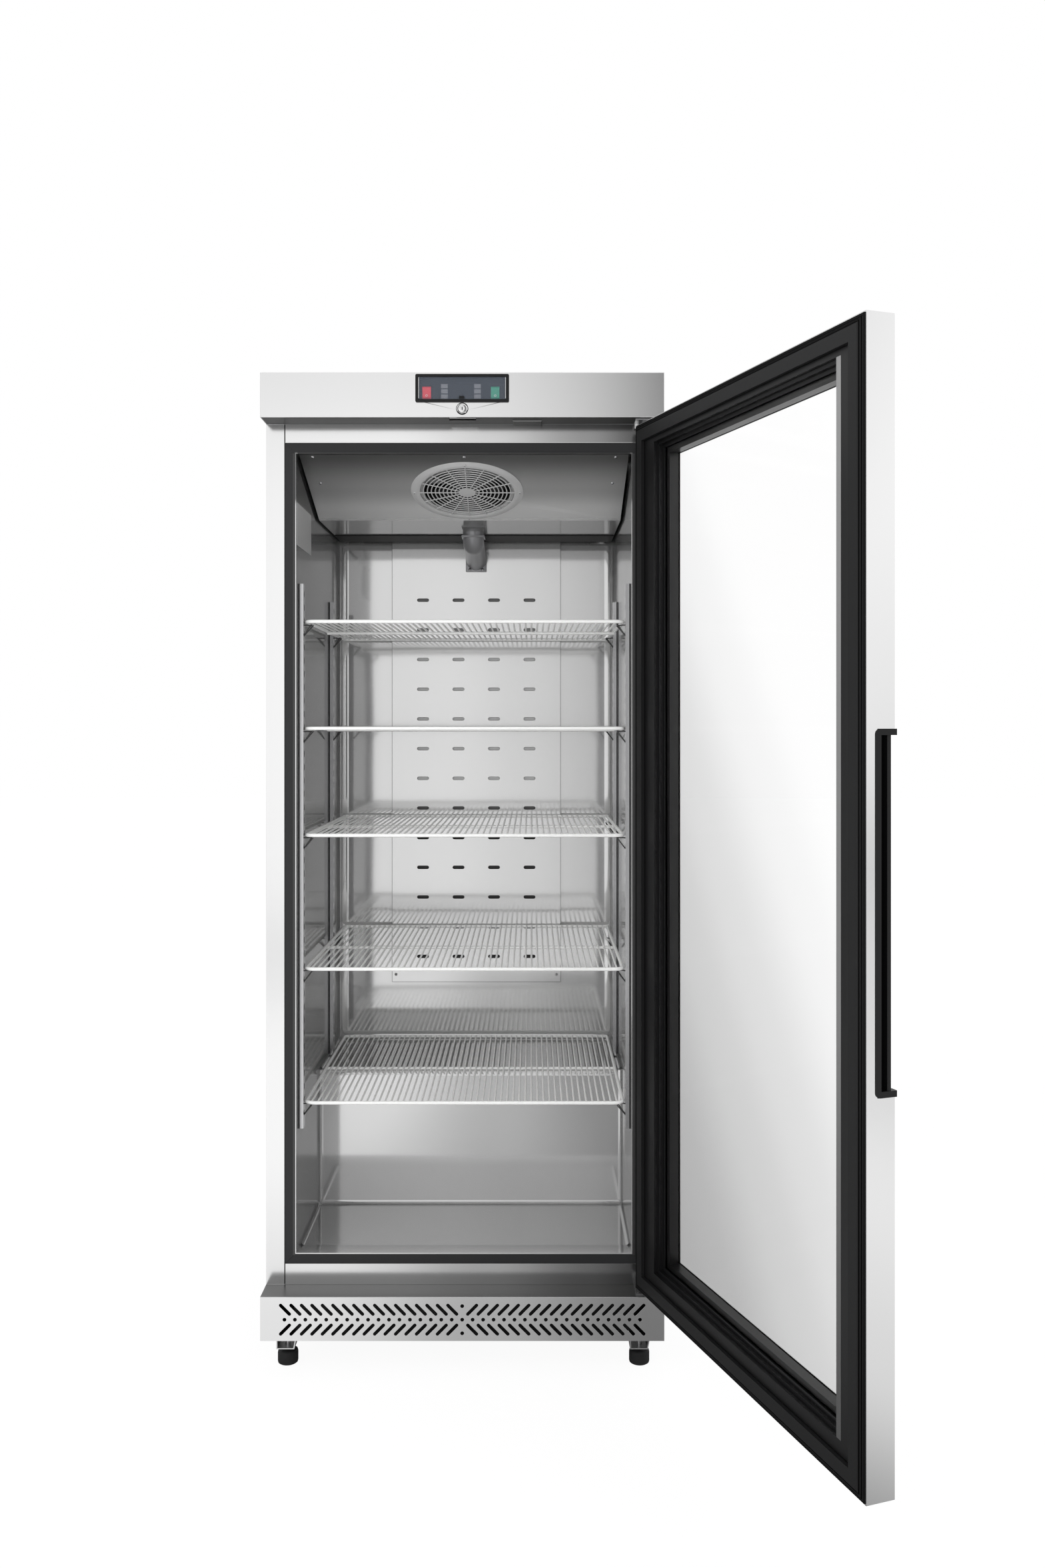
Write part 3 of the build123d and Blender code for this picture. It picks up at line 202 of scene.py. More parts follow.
world = bpy.data.worlds.new("studio")
scene.world = world
made, link = tree_of(world)
sky = made.new("ShaderNodeBackground")
sky.inputs["Color"].default_value = (0.72, 0.72, 0.72, 1)
white = made.new("ShaderNodeBackground")
white.inputs["Color"].default_value = (1, 1, 1, 1)
choose = made.new("ShaderNodeMixShader")
link.new(ray_is(made, link, "Camera", "Glossy", "Transmission"), choose.inputs["Fac"])
link.new(sky.outputs["Background"], choose.inputs[1])
link.new(white.outputs["Background"], choose.inputs[2])
link.new(choose.outputs["Shader"], made.new("ShaderNodeOutputWorld").inputs["Surface"])

floor = mesh_object("floor", sheet_form(40, 40, (0, 0, 0)))
floor.location = (0, 0, -0.0005)
scene.collection.objects.link(floor)
floor.data.materials.append(floor_material())

front_tones = (-2, 5, [(0.0, 0.95), (0.22, 1.0), (0.30, 0.84), (0.37, 0.66), (0.405, 0.40), (0.435, 0.14),
                       (0.66, 0.03), (0.92, 0.9)])
card("toned_card", sheet_form(14, 9, (0, -6, 4.5), 90), "X", front_tones,
     "Z", (0, 5, [(0.0, 1.0), (0.5, 1.0), (0.75, 0.8)]))
side_tones = (0, 6, [(0.0, 0.45), (0.22, 0.84), (0.5, 0.97), (1.0, 0.8)])
for name, width, turn, place in (("card_left", 13, 90, (-7, 0.5, 3)), ("card_right", 13, 90, (7, 0.5, 3)),
                                 ("card_back", 14, 0, (0, 7.5, 3))):
    card(name, sheet_form(width, 6, place, 90, turn), "Z", side_tones)
card("card_top", sheet_form(14, 13, (0, 1, 7)), "Y", (-6, 7, [(0.0, 0.95), (0.5, 0.75), (1.0, 0.55)]))
floor_tones = (-1, 2, [(0.0, 1.0), (0.20, 0.98), (0.34, 0.50), (0.46, 0.22), (0.56, 0.30), (0.74, 0.72),
                       (1.0, 0.85)])
card("toned_floor", sheet_form(5, 3, (0, -1.87, 0.002)), "X", floor_tones,
     "Y", (-3.4, -0.4, [(0.0, 1.0), (0.6, 1.0), (1.0, 0.8)]))
lamp("key", (-2.2, -3.4, 3.0), (0, 0, 1.1), (2.0, 2.4), 45)
lamp("fill", (0.3, -3.6, 1.3), (0, 0.3, 1.2), (1.6, 1.6), 25)
print("stage ready")

# %% [markdown]
# ## Materials
# Every finish is made from noise in object coordinates, so it needs no image and no unwrapping. Brushed
# sheet is the same noise stretched a hundred times along the rolling direction: it varies the roughness and
# presses very shallow grooves, and the reflection spreads across them as on real sheet. Where one sheet
# reflects its surroundings unevenly or lies in shade, a ramp along one axis paints that light and shade into its
# colour.

# %%
finishes = {}


def finish(name, colour, metallic, roughness, grain=(1, 1, 1), depth=0.0, speckle=0.0, scale=400.0, wave=0.0,
           tint=None, **sockets):
    """A Principled material, kept under its name. A colour may be one grey. grain squeezes the noise along
    x, y and z, depth is that of its grooves, speckle is how far it varies the roughness, wave is the height
    of slow bends in a sheet, and tint is the grey of metal seen at a low angle."""
    material = finishes[name] = bpy.data.materials.new(name)
    made, link = tree_of(material)
    surface = made.new("ShaderNodeBsdfPrincipled")
    surface.inputs["Base Color"].default_value = (*(colour if isinstance(colour, tuple) else [colour] * 3), 1)
    surface.inputs["Metallic"].default_value = metallic
    surface.inputs["Roughness"].default_value = roughness
    if tint is not None:
        surface.inputs["Specular Tint"].default_value = (tint, tint, tint, 1)
    for socket, value in sockets.items():
        surface.inputs[socket.replace("_", " ")].default_value = value
    place = made.new("ShaderNodeTexCoord")
    stretch = made.new("ShaderNodeMapping")
    stretch.inputs["Scale"].default_value = grain
    noise = made.new("ShaderNodeTexNoise")
    noise.inputs["Scale"].default_value = scale
    noise.inputs["Detail"].default_value = 3
    link.new(place.outputs["Object"], stretch.inputs["Vector"])
    link.new(stretch.outputs["Vector"], noise.inputs["Vector"])
    spread = made.new("ShaderNodeMapRange")
    spread.inputs["To Min"].default_value = max(roughness - speckle, 0.02)
    spread.inputs["To Max"].default_value = roughness + speckle
    link.new(noise.outputs["Fac"], spread.inputs["Value"])
    link.new(spread.outputs["Result"], surface.inputs["Roughness"])
    if depth:
        bump = made.new("ShaderNodeBump")
        bump.inputs["Strength"].default_value = depth
        bump.inputs["Distance"].default_value = 0.0004
        link.new(noise.outputs["Fac"], bump.inputs["Height"])
        link.new(bump.outputs["Normal"], surface.inputs["Normal"])
    if wave:
        slow = made.new("ShaderNodeTexNoise")
        slow.inputs["Scale"].default_value = 4.0
        slow.inputs["Detail"].default_value = 1
        bend = made.new("ShaderNodeBump")
        bend.inputs["Distance"].default_value = wave
        link.new(place.outputs["Object"], slow.inputs["Vector"])
        link.new(slow.outputs["Fac"], bend.inputs["Height"])
        link.new(bend.outputs["Normal"], surface.inputs["Normal"])
    link.new(surface.outputs["BSDF"], made.new("ShaderNodeOutputMaterial").inputs["Surface"])


def glass_with_painted_shade():
    """Door glass: clear, with painted shade in its colour, darker towards the bottom and the hinge."""
    material = finishes["glass"] = bpy.data.materials.new("glass")
    made, link = tree_of(material)
    surface = made.new("ShaderNodeBsdfPrincipled")
    surface.inputs["Transmission Weight"].default_value = 1.0
    surface.inputs["IOR"].default_value = 1.04
    surface.inputs["Roughness"].default_value = 0.0
    axes = object_axes(made, link)
    along = made.new("ShaderNodeMath")
    along.operation = "MULTIPLY_ADD"
    along.inputs[1].default_value = -1.6
    link.new(axes["Y"], along.inputs[0])
    link.new(axes["Z"], along.inputs[2])
    greys = [(0.0, 0.66), (0.14, 0.69), (0.425, 0.80), (0.59, 0.86), (0.84, 0.96), (1.0, 1.0)]
    link.new(ramp(made, link, along.outputs["Value"], 1.0, 2.6, greys), surface.inputs["Base Color"])
    link.new(surface.outputs["BSDF"], made.new("ShaderNodeOutputMaterial").inputs["Surface"])


steel_grain = (0.01, 1, 1)
bright_sheet = (0.95, 1, 0.17, steel_grain, 0.015, 0.03, 1100)
dark_sheet = (0.34, 1, 0.35, steel_grain, 0.01, 0.04, 700)
finish("brushed_steel", *bright_sheet, tint=0.35)
finish("dull_steel", *dark_sheet, tint=0.2)
finish("liner_aluminium", 0.78, 0.75, 0.08, speckle=0.015, scale=250, wave=0.0005, tint=0.42)
finish("satin_cover", 0.62, 0.75, 0.34, speckle=0.02, scale=250, tint=0.3)
finish("galvanised_steel", (0.50, 0.51, 0.52), 1, 0.45, depth=0.05, speckle=0.10, scale=60)
finish("duct_dark", 0.10, 1, 0.5, depth=0.02, speckle=0.05)
finish("duct_back", 0.80, 1, 0.5)
finish("insulation_foam", (0.80, 0.74, 0.55), 0, 0.9, depth=0.3, speckle=0.05)
finish("black_plastic", (0.006, 0.006, 0.0065), 0, 0.42, depth=0.04, speckle=0.05, scale=900,
       Specular_IOR_Level=0.30)
finish("breaker_black", (0.016, 0.016, 0.017), 0, 0.42, depth=0.04, speckle=0.05, scale=900,
       Specular_IOR_Level=0.35)
finish("black_rubber", (0.008, 0.008, 0.0085), 0, 0.6, depth=0.05, speckle=0.08, scale=900,
       Specular_IOR_Level=0.30)
finish("gasket_groove", 0.002, 0, 0.7, Specular_IOR_Level=0.1)
finish("white_nylon", (0.86, 0.86, 0.85), 0, 0.45, depth=0.02, speckle=0.05)
finish("tinted_window", (0.34, 0.39, 0.48), 0, 0.10, Alpha=0.11, IOR=1.3)
finish("zinc", (0.62, 0.62, 0.63), 1, 0.22, depth=0.02, speckle=0.06, scale=200)
finish("polished_zinc", 0.90, 1, 0.12, speckle=0.02, scale=200)
finish("bevel_sheen_grey", 0.25, 0, 0.4)
finish("white_wire", (0.92, 0.92, 0.91), 0, 0.30, depth=0.02, speckle=0.05, scale=700)
finish("dark_wire", 0.12, 1, 0.35)
finish("black_paint", 0.012, 0, 0.5, depth=0.05, speckle=0.08)
finish("red_plastic", (0.55, 0.02, 0.03), 0, 0.3, speckle=0.04,
       Emission_Color=(1.0, 0.03, 0.05, 1), Emission_Strength=0.15)
finish("green_plastic", (0.015, 0.22, 0.13), 0, 0.3, speckle=0.04,
       Emission_Color=(0.01, 0.30, 0.18, 1), Emission_Strength=0.2)
finish("grey_plastic", (0.30, 0.30, 0.31), 0.5, 0.3, depth=0.02, speckle=0.05, scale=700)
finish("light_plastic", 0.50, 0, 0.4, depth=0.02, speckle=0.05, scale=700)
finish("button_grey", (0.17, 0.17, 0.18), 0, 0.4, depth=0.02, speckle=0.05, scale=700)
finish("spacer_paint", 0.01, 0, 0.35)
finish("base_sheet_painted_shade", *dark_sheet, tint=0.2)
finish("rail_steel_painted_shade", *bright_sheet, tint=0.35)
glass_with_painted_shade()


def graded(name, axis, low, high, stops, socket="Base Color"):
    """Greys along one axis of the object, put on a socket of a finish."""
    made, link = finishes[name].node_tree.nodes, finishes[name].node_tree.links
    surface = next(entry for entry in made if entry.type == "BSDF_PRINCIPLED")
    link.new(ramp(made, link, object_axes(made, link)[axis], low, high, stops), surface.inputs[socket])


# Painted shade: the base sheet is dark above 66 mm, behind the kick plate, and lighter below 60 mm.
graded("base_sheet_painted_shade", "Z", 0.060, 0.066, [(0.0, 0.75), (1.0, 0.34)])
# Painted shade: the liner is darker on the floor of its well and above 1.69 m, up round the cover.
graded("liner_aluminium", "Z", 0.20, 1.80, [(0.0022, 0.48), (0.0063, 0.78), (0.927, 0.78), (0.934, 0.22)])
# Painted shade: the face rails darken towards the hinge side.
graded("rail_steel_painted_shade", "X", -0.15, 0.37, [(0.0, 0.95), (0.385, 0.78), (0.754, 0.47), (1.0, 0.20)])
# Painted shade: the cover is dark at its front, high edge and lighter towards its rear, low edge.
graded("satin_cover", "Y", -0.299, -0.046, [(0.0, 0.16), (0.5, 0.58), (0.85, 1.0), (1.0, 1.0)])
graded("satin_cover", "Y", -0.060, -0.040, [(0.0, 0.32), (1.0, 0.10)], "Roughness")
# Painted light and shade: the sheet behind the duct's slots is light in its middle, dark below and above.
graded("duct_back", "Z", 0.90, 1.60, [(0.19, 0.07), (0.29, 0.80), (0.76, 0.80), (0.86, 0.25)])
# Painted sheen and shade: the grey strip beside the glass is darker towards the bottom.
graded("bevel_sheen_grey", "Z", 0.25, 1.75, [(0.0, 0.07), (0.5, 0.20), (1.0, 0.26)])


def paint(node, name):
    mesh = nodes[node].data
    if not mesh.materials:
        mesh.materials.append(finishes[name])
    for index in range(len(mesh.materials)):
        mesh.materials[index] = finishes[name]


repainted = {"breaker_frame": "breaker_black", "evaporator_cover": "satin_cover", "door_sensor": "dull_steel",
             "door_gasket": "black_rubber", "glass_spacer": "spacer_paint", "base_frame": "base_sheet_painted_shade",
             "face_rails": "rail_steel_painted_shade"}
for node in nodes:
    materials = nodes[node].data.materials
    named = materials[0].name.split(".")[0] if materials else "brushed_steel"
    if node.startswith("button_"):
        named = "button_grey"
    paint(node, repainted.get(node, named if named in finishes else "brushed_steel"))
print(len(finishes), "finishes")

# %% [markdown]
# ## Making pieces
# A piece is a form made with modelling operators or a curve, given a finish and put on the body that
# carries it, which is the cabinet unless another one is named.

# %%
def place_piece(obj, body, material):
    scene.collection.objects.link(obj)
    obj.data.materials.append(finishes[material])
    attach(obj, body)
    return obj


def piece(name, form, material, smooth=None, body="cabinet"):
    """A form as a piece. Edges bent less than smooth, in degrees, are shaded as round."""
    obj = mesh_object(name, form)
    if smooth is not None:
        obj.data.shade_smooth()
        obj.data.set_sharp_from_angle(angle=math.radians(smooth))
    return place_piece(obj, body, material)


def wires(name, runs, radius, material, body="cabinet", closed=False, kind="POLY", sides=2):
    """Round wires through the points of each run. A NURBS wire bends smoothly near its middle points."""
    curve = bpy.data.curves.new(name, "CURVE")
    curve.dimensions = "3D"
    curve.bevel_depth = radius
    curve.bevel_resolution = sides
    curve.use_fill_caps = True
    curve.resolution_u = 10
    for run in runs:
        spline = curve.splines.new(kind)
        spline.points.add(len(run) - 1)
        for point, spot in zip(spline.points, run):
            point.co = (*spot, 1)
        spline.use_cyclic_u = closed
        if kind == "NURBS":
            spline.order_u = 3
            spline.use_endpoint_u = True
    return place_piece(bpy.data.objects.new(name, curve), body, material)


def rounded_box(name, low, high, radius, material, body="cabinet", segments=1):
    form = bmesh.new()
    bmesh.ops.create_cube(form, size=1)
    bmesh.ops.scale(form, verts=form.verts, vec=high - low)
    bmesh.ops.translate(form, verts=form.verts, vec=(low + high) / 2)
    bmesh.ops.bevel(form, geom=form.edges[:], offset=radius, segments=segments, affect="EDGES", profile=0.5,
                    material=-1)
    return piece(name, form, material, 35, body)


def lathe(profile, centre, axis, side, steps=72):
    """Spins a run of (radius, height) points, in mm, round an axis."""
    form = bmesh.new()
    profile_vertices = [form.verts.new(centre + side * (r * mm) + axis * (h * mm)) for r, h in profile]
    edges = [form.edges.new(pair) for pair in zip(profile_vertices, profile_vertices[1:])]
    bmesh.ops.spin(form, geom=profile_vertices + edges, cent=centre, axis=axis, angle=math.tau, steps=steps,
                   use_merge=True)
    bmesh.ops.remove_doubles(form, verts=form.verts, dist=1e-6)
    bmesh.ops.recalc_face_normals(form, faces=form.faces)
    return form


def swept(corners, run):
    """An open strip: the corners joined in a row and carried along a run."""
    form = bmesh.new()
    points = [form.verts.new(corner) for corner in corners]
    edges = [form.edges.new(pair) for pair in zip(points, points[1:])]
    grown = bmesh.ops.extrude_edge_only(form, edges=edges)["geom"]
    bmesh.ops.translate(form, verts=[part for part in grown if isinstance(part, bmesh.types.BMVert)], vec=run)
    return form


def arc(centre, radius, start, end, steps, along=X, up=Z):
    turns = [start + (end - start) * i / steps for i in range(steps + 1)]
    return [centre + along * radius * math.cos(t) + up * radius * math.sin(t) for t in turns]


def ring(centre, radius, count=48, along=X, up=Z):
    """The points of a closed circle."""
    return arc(centre, radius, 0, math.tau * (count - 1) / count, count - 1, along, up)


print("helpers ready")

# %% [markdown]
# ## Wire shelves
# Each shelf is white coated wire: a thick rod frame with round corners, a cross bar under the middle, and
# fifty-one thinner wires laid from front to back. Wire is a curve with a round section, the way it is bent
# and welded. The CAD's shelf has square wires, so it steps aside for this one.

# %%
def rounded_frame(low, high, height, radius, steps=5):
    """The corners of a rectangle, rounded at the front and nearly square at the back."""
    points = []
    for x, y, start, r in ((high.x, low.y, -90, radius), (high.x, high.y, 0, radius / 3),
                           (low.x, high.y, 90, radius / 3), (low.x, low.y, 180, radius)):
        centre = Vector((x - math.copysign(r, x), y + (r if y == low.y else -r), height))
        first = math.radians(start)
        points += arc(centre, r, first, first + math.pi / 2, steps, up=Y)
    return points


rod, strand = 3.7 * mm, 2.0 * mm
shelf_wires, wire_pitch = 51, 12.1
for number in range(1, 6):
    name = f"shelf_{number}"
    low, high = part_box(name)
    inner_low, inner_high = low + Vector((rod, rod, 0)), high - Vector((rod, rod, 0))
    edge = wires(name + "_rods", [rounded_frame(inner_low, inner_high, high.z - rod, 18 * mm)], rod,
                 "white_wire", name, closed=True)
    places = [(wire - shelf_wires // 2) * wire_pitch * mm for wire in range(shelf_wires)]
    wires(name + "_wires", [[Vector((x, y, high.z - strand)) for y in (inner_low.y, inner_high.y)]
                            for x in places], strand, "white_wire", name)
    middle = low.y + (high.y - low.y) / 2
    bar = [Vector((x, middle, high.z - 2 * strand - rod)) for x in (inner_low.x, inner_high.x)]
    wires(name + "_cross_bar", [bar], rod * 0.9, "white_wire", name)
    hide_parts(name)
print("five shelves of wire")

# %% [markdown]
# ## Fan guard
# A moulded guard with nine close rings on sixteen ribs. Rim and hub are turned round the fan's axis, as
# their mould is; the rings and ribs are thin wires, because only their round backs show.

# %%
guard_low, guard_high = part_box("fan_guard")
fan_centre = Vector((0, -164, 1733.6)) * mm
outward = Vector((0, -0.3398, -0.9405))
up_slope = outward.cross(X).normalized()
ring_count, first_ring, ring_pitch, rib_count = 9, 25, 8.2, 16


def on_guard(turn, reach, height):
    """A point on the guard, by its angle and, in mm, its distance from the axis and its height."""
    return fan_centre + (X * math.cos(turn) + up_slope * math.sin(turn)) * reach * mm + outward * height * mm


rim = lathe([(98, 0.5), (98, 4), (101, 5.2), (109, 4.2), (116, 1.6), (116.4, 0.4), (98, 0.5)], fan_centre,
            outward, X)
rim_piece = piece("fan_guard_rim", rim, "light_plastic", 40)
hub = lathe([(0.1, 4.6), (12, 4.6), (17, 4.0), (17.5, 2.0), (0.1, 2.0)], fan_centre, outward, X)
piece("fan_guard_hub", hub, "light_plastic", 40)
rings = [ring(fan_centre + outward * 2.6 * mm, (first_ring + count * ring_pitch) * mm, up=up_slope)
         for count in range(ring_count)]
wires("fan_guard_rings", rings, 1.35 * mm, "light_plastic", closed=True)
turns = [math.tau * rib / rib_count for rib in range(rib_count)]
wires("fan_guard_ribs", [[on_guard(turn, 16, 3.4), on_guard(turn, 106, 3.4)] for turn in turns], 1.2 * mm,
      "light_plastic")
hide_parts("fan_guard")
print("fan guard between", [round(v, 3) for v in guard_low], [round(v, 3) for v in guard_high])

# %% [markdown]
# ## Pressed and perforated sheet
# A perforated sheet is drawn as a flat outline with its holes inside it, given a thickness and a tiny
# rounded edge, and laid in place. The kick plate's herringbone of slots and dots is made this way, with
# round slot ends that the CAD leaves square, and so is the air duct at the rear with its rows of slots.

# %%
def slot_points(length, width, angle=0.0, at=(0, 0), steps=6):
    """The outline of a slot with round ends."""
    reach, r = (length - width) / 2, width / 2
    points = []
    for end, first in ((1, -90), (-1, 90)):
        for i in range(steps + 1):
            turn = math.radians(first + 180 * i / steps)
            points.append((end * reach + r * math.cos(turn), r * math.sin(turn)))
    c, q = math.cos(angle), math.sin(angle)
    return [(at[0] + x * c - y * q, at[1] + x * q + y * c) for x, y in points]


def box_points(x0, x1, y0, y1):
    return [(x0, y0), (x1, y0), (x1, y1), (x0, y1)]


def cut_sheet(name, outlines, thickness, turn, shift, material, eased=0.15 * mm):
    """A flat sheet with holes, its middle plane turned and moved into place."""
    drawing = bpy.data.curves.new(name + "_drawing", "CURVE")
    drawing.dimensions = "2D"
    drawing.fill_mode = "BOTH"
    drawing.extrude = thickness / 2 - eased
    drawing.bevel_depth = eased
    drawing.offset = -eased
    for outline in outlines:
        spline = drawing.splines.new("POLY")
        spline.points.add(len(outline) - 1)
        for point, (x, y) in zip(spline.points, outline):
            point.co = (x, y, 0, 1)
        spline.use_cyclic_u = True
    flat = bpy.data.objects.new(name + "_drawing", drawing)
    scene.collection.objects.link(flat)
    bpy.context.view_layer.update()
    mesh = bpy.data.meshes.new_from_object(flat.evaluated_get(bpy.context.evaluated_depsgraph_get()))
    bpy.data.objects.remove(flat)
    mesh.transform(Matrix.Translation(shift) @ turn)
    mesh.materials.clear()
    mesh.name = name
    return place_piece(bpy.data.objects.new(name, mesh), "cabinet", material)


flat_turn = Matrix.Identity(4)
upright = Matrix.Rotation(math.radians(90), 4, "X")
sideways = Matrix.Rotation(math.radians(90), 4, "Z") @ upright

low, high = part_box("kick_plate")
sheet = 1.2 * mm
pitch, columns = 20.1 * mm, 17
dot_height, slot_rise, end_dot_rise = 106.0 * mm, 19.1 * mm, 26.1 * mm
holes = [box_points(low.x, high.x, low.z, high.z)]
for column in range(-columns, columns + 1):
    x = column * pitch
    rises = (0, end_dot_rise, -end_dot_rise) if column == 0 else (0,)
    holes += [slot_points(7.31 * mm, 7.3 * mm, at=(x, dot_height + rise)) for rise in rises]
    if column:
        side = math.copysign(1, column)
        for up in (1, -1):
            holes.append(slot_points(30.4 * mm, 6.4 * mm, math.radians(45) * side * up,
                                     (x - side * mm, dot_height + up * slot_rise)))
kick = cut_sheet("kick_plate_sheet", holes, sheet, upright, Vector((0, low.y + sheet / 2, 0)), "brushed_steel")
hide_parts("kick_plate")
cut_sheet("kick_plate_fold", [box_points(low.x + 66 * mm, high.x - 66 * mm, low.y + sheet, high.y)], sheet,
          flat_turn, Vector((0, 0, low.z + sheet / 2)), "brushed_steel")

low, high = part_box("duct_panel")
sheet = 1.0 * mm
slot_columns, slot_rows, top_row, row_pitch, column_pitch = 4, 13, 1550.5, 71.6, 85.6
holes = [box_points(low.x, high.x, low.z, high.z)]
for column in range(slot_columns):
    for row in range(slot_rows):
        holes.append(slot_points(28.4 * mm, 8 * mm, at=((column - 1.5) * column_pitch * mm,
                                                        (top_row - row_pitch * row) * mm)))
duct = cut_sheet("duct_face", holes, sheet, upright, Vector((0, low.y + sheet / 2, 0)), "liner_aluminium",
                 0.3 * mm)
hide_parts("duct_panel")
for side, word in ((-1, "left"), (1, "right")):
    cut_sheet(f"duct_side_{word}", [box_points(low.y + mm, high.y, low.z, high.z)], sheet, sideways,
              Vector((side * (high.x - sheet / 2), 0, 0)), "liner_aluminium")
cut_sheet("duct_bottom", [box_points(low.x + mm, high.x - mm, low.y + mm, high.y)], sheet, flat_turn,
          Vector((0, 0, low.z + sheet / 2)), "liner_aluminium")
print("perforated sheets")

# %% [markdown]
# ## Slotted uprights and wire clips
# The uprights are thin channels with a slot every 26.5 mm. A strip is cut by planes at each slot's edges,
# the pieces of face inside the slots are taken out, and the rest gets its thickness. Each clip is a bent
# spring wire: it comes out of a slot, runs under the shelf and goes back lower down. The lowest shelf has
# no clips at its rear, where the uprights end. Black cords in the gap between channel and wall, and inside
# each channel behind its slots, are painted shade.

# %%
low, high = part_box("pilasters")
half = 9 * mm
face_x, wall_x = high.x - 9 * mm, high.x
slot_pitch, slot_half_height, slot_half_width = 26.5 * mm, 6 * mm, 3 * mm


def channel(y, bottom, top):
    form = swept([(x, y + dy, bottom) for x, dy in
                  ((wall_x, -half), (face_x, -half), (face_x, half), (wall_x, half))], (0, 0, top - bottom))
    levels = []
    z = top - 20 * mm
    while z > bottom + 14 * mm:
        levels.append(z)
        z -= slot_pitch
    cuts = [(Z * (z + d), Z) for z in levels for d in (-slot_half_height, slot_half_height)]
    cuts += [(Y * (y + d), Y) for d in (-slot_half_width, slot_half_width)]
    for place, normal in cuts:
        bmesh.ops.bisect_plane(form, geom=form.verts[:] + form.edges[:] + form.faces[:], plane_co=place,
                               plane_no=normal, dist=1e-7)
    gone = []
    for face in form.faces:
        middle = face.calc_center_median()
        in_slots = any(abs(middle.z - z) < slot_half_height for z in levels)
        if in_slots and abs(middle.x - face_x) < 1e-5 and abs(middle.y - y) < slot_half_width:
            gone.append(face)
    bmesh.ops.delete(form, geom=gone, context="FACES")
    bmesh.ops.recalc_face_normals(form, faces=form.faces)
    bmesh.ops.solidify(form, geom=form.faces[:], thickness=-0.9 * mm)
    return form


def mirrored_pair(name, form, material):
    """The form and its mirror image on the other side of the cabinet. Returns the right one."""
    other = form.copy()
    bmesh.ops.scale(other, verts=other.verts, vec=(-1, 1, 1))
    bmesh.ops.reverse_faces(other, faces=other.faces)
    right = piece(name + "_right", form, material)
    piece(name + "_left", other, material)
    return right


front_y, rear_y, rear_bottom = -270 * mm, 131 * mm, 499 * mm
right = mirrored_pair("upright_front", channel(front_y, low.z, high.z), "zinc")
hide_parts("pilasters")
mirrored_pair("upright_rear", channel(rear_y, rear_bottom, high.z), "zinc")
shade_runs = []
for side in (-1, 1):
    for y, bottom in ((front_y, low.z), (rear_y, rear_bottom)):
        for x, near, ends in ((wall_x - 1.3 * mm, y - half - 0.6 * mm, (bottom, high.z)),
                              (face_x + 2.6 * mm, y, (bottom + 2 * mm, high.z - 2 * mm))):
            shade_runs.append([Vector((side * x, near, z)) for z in ends])
wires("upright_shades", shade_runs, 1.3 * mm, "black_rubber")

clip_runs = []
clip_drop, clip_height, clip_reach, clip_spread = 2.2 * mm, 22 * mm, 17 * mm, 14 * mm
for shelf in range(1, 6):
    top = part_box(f"shelf_{shelf}")[0].z - clip_drop
    foot = top - clip_height
    for y in (front_y, rear_y):
        if y == rear_y and shelf == 5:
            continue
        for side in (-1, 1):
            wall, tip = side * face_x, side * (face_x - clip_reach)
            rear_tip = Vector((tip, y + clip_spread, top))
            clip_runs.append([Vector((wall, y, top)), rear_tip, Vector((tip, y - clip_spread, top)),
                              Vector((wall, y, foot))])
            clip_runs.append([Vector((wall, y, foot)), rear_tip])
clips = wires("clip_wires", clip_runs, 1.25 * mm, "dark_wire")
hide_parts("shelf_clips")
print("uprights and", len(clip_runs), "bends of clip wire")

# %% [markdown]
# ## Corner beads of the liner
# Where liner sheets meet, the press leaves a narrow concave bead that catches the light as a bright line.
# Each one is a short arc carried along the corner, since a bead has the same section from end to end.

# %%
def bead(name, corner, first_side, second_side, run, radius=7 * mm, steps=6):
    """A quarter-round strip in a corner. The sides point from the corner along the two sheets."""
    centre = corner + (first_side + second_side) * radius
    turns = [math.radians(90) * i / steps for i in range(steps + 1)]
    form = swept([centre - first_side * radius * math.cos(turn) - second_side * radius * math.sin(turn)
                  for turn in turns], run)
    bmesh.ops.recalc_face_normals(form, faces=form.faces)
    inward = (first_side + second_side).normalized()
    if sum(face.normal.dot(inward) for face in form.faces) < 0:
        bmesh.ops.reverse_faces(form, faces=form.faces)
    piece(name, form, "liner_aluminium", 60)


liner_x, floor_z, step_y, step_z, rear = 329.7 * mm, 203.0 * mm, -7 * mm, 494 * mm, 306.2 * mm
ramp_y, ledge_y = -245 * mm, step_y + 12 * mm
for side, word in ((-1, "left"), (1, "right")):
    inward = X * -side
    bead(f"bead_step_{word}", Vector((side * liner_x, step_y, floor_z)), inward, -Y, Z * (step_z - floor_z))
    bead(f"bead_floor_{word}", Vector((side * liner_x, ramp_y, floor_z)), inward, Z, Y * (step_y - ramp_y))
    bead(f"bead_ledge_{word}", Vector((side * liner_x, ledge_y, step_z)), inward, Z, Y * (rear - ledge_y))
bead("bead_step_floor", Vector((-liner_x, step_y, floor_z)), -Y, Z, X * 2 * liner_x)
bead("bead_rear_ledge", Vector((-liner_x, rear, step_z)), -Y, Z, X * 2 * liner_x)
print("corner beads")

# %% [markdown]
# ## Drain elbow, strips and screws
# The elbow is one smooth bent tube with a small flange and two screws. Screws are turned heads with a black
# cross laid into them, painted shade for the recess. A black strip behind the cover, by the rear wall, is
# painted shade for the dark gap there, and a bare foil stands where the photograph has a label.

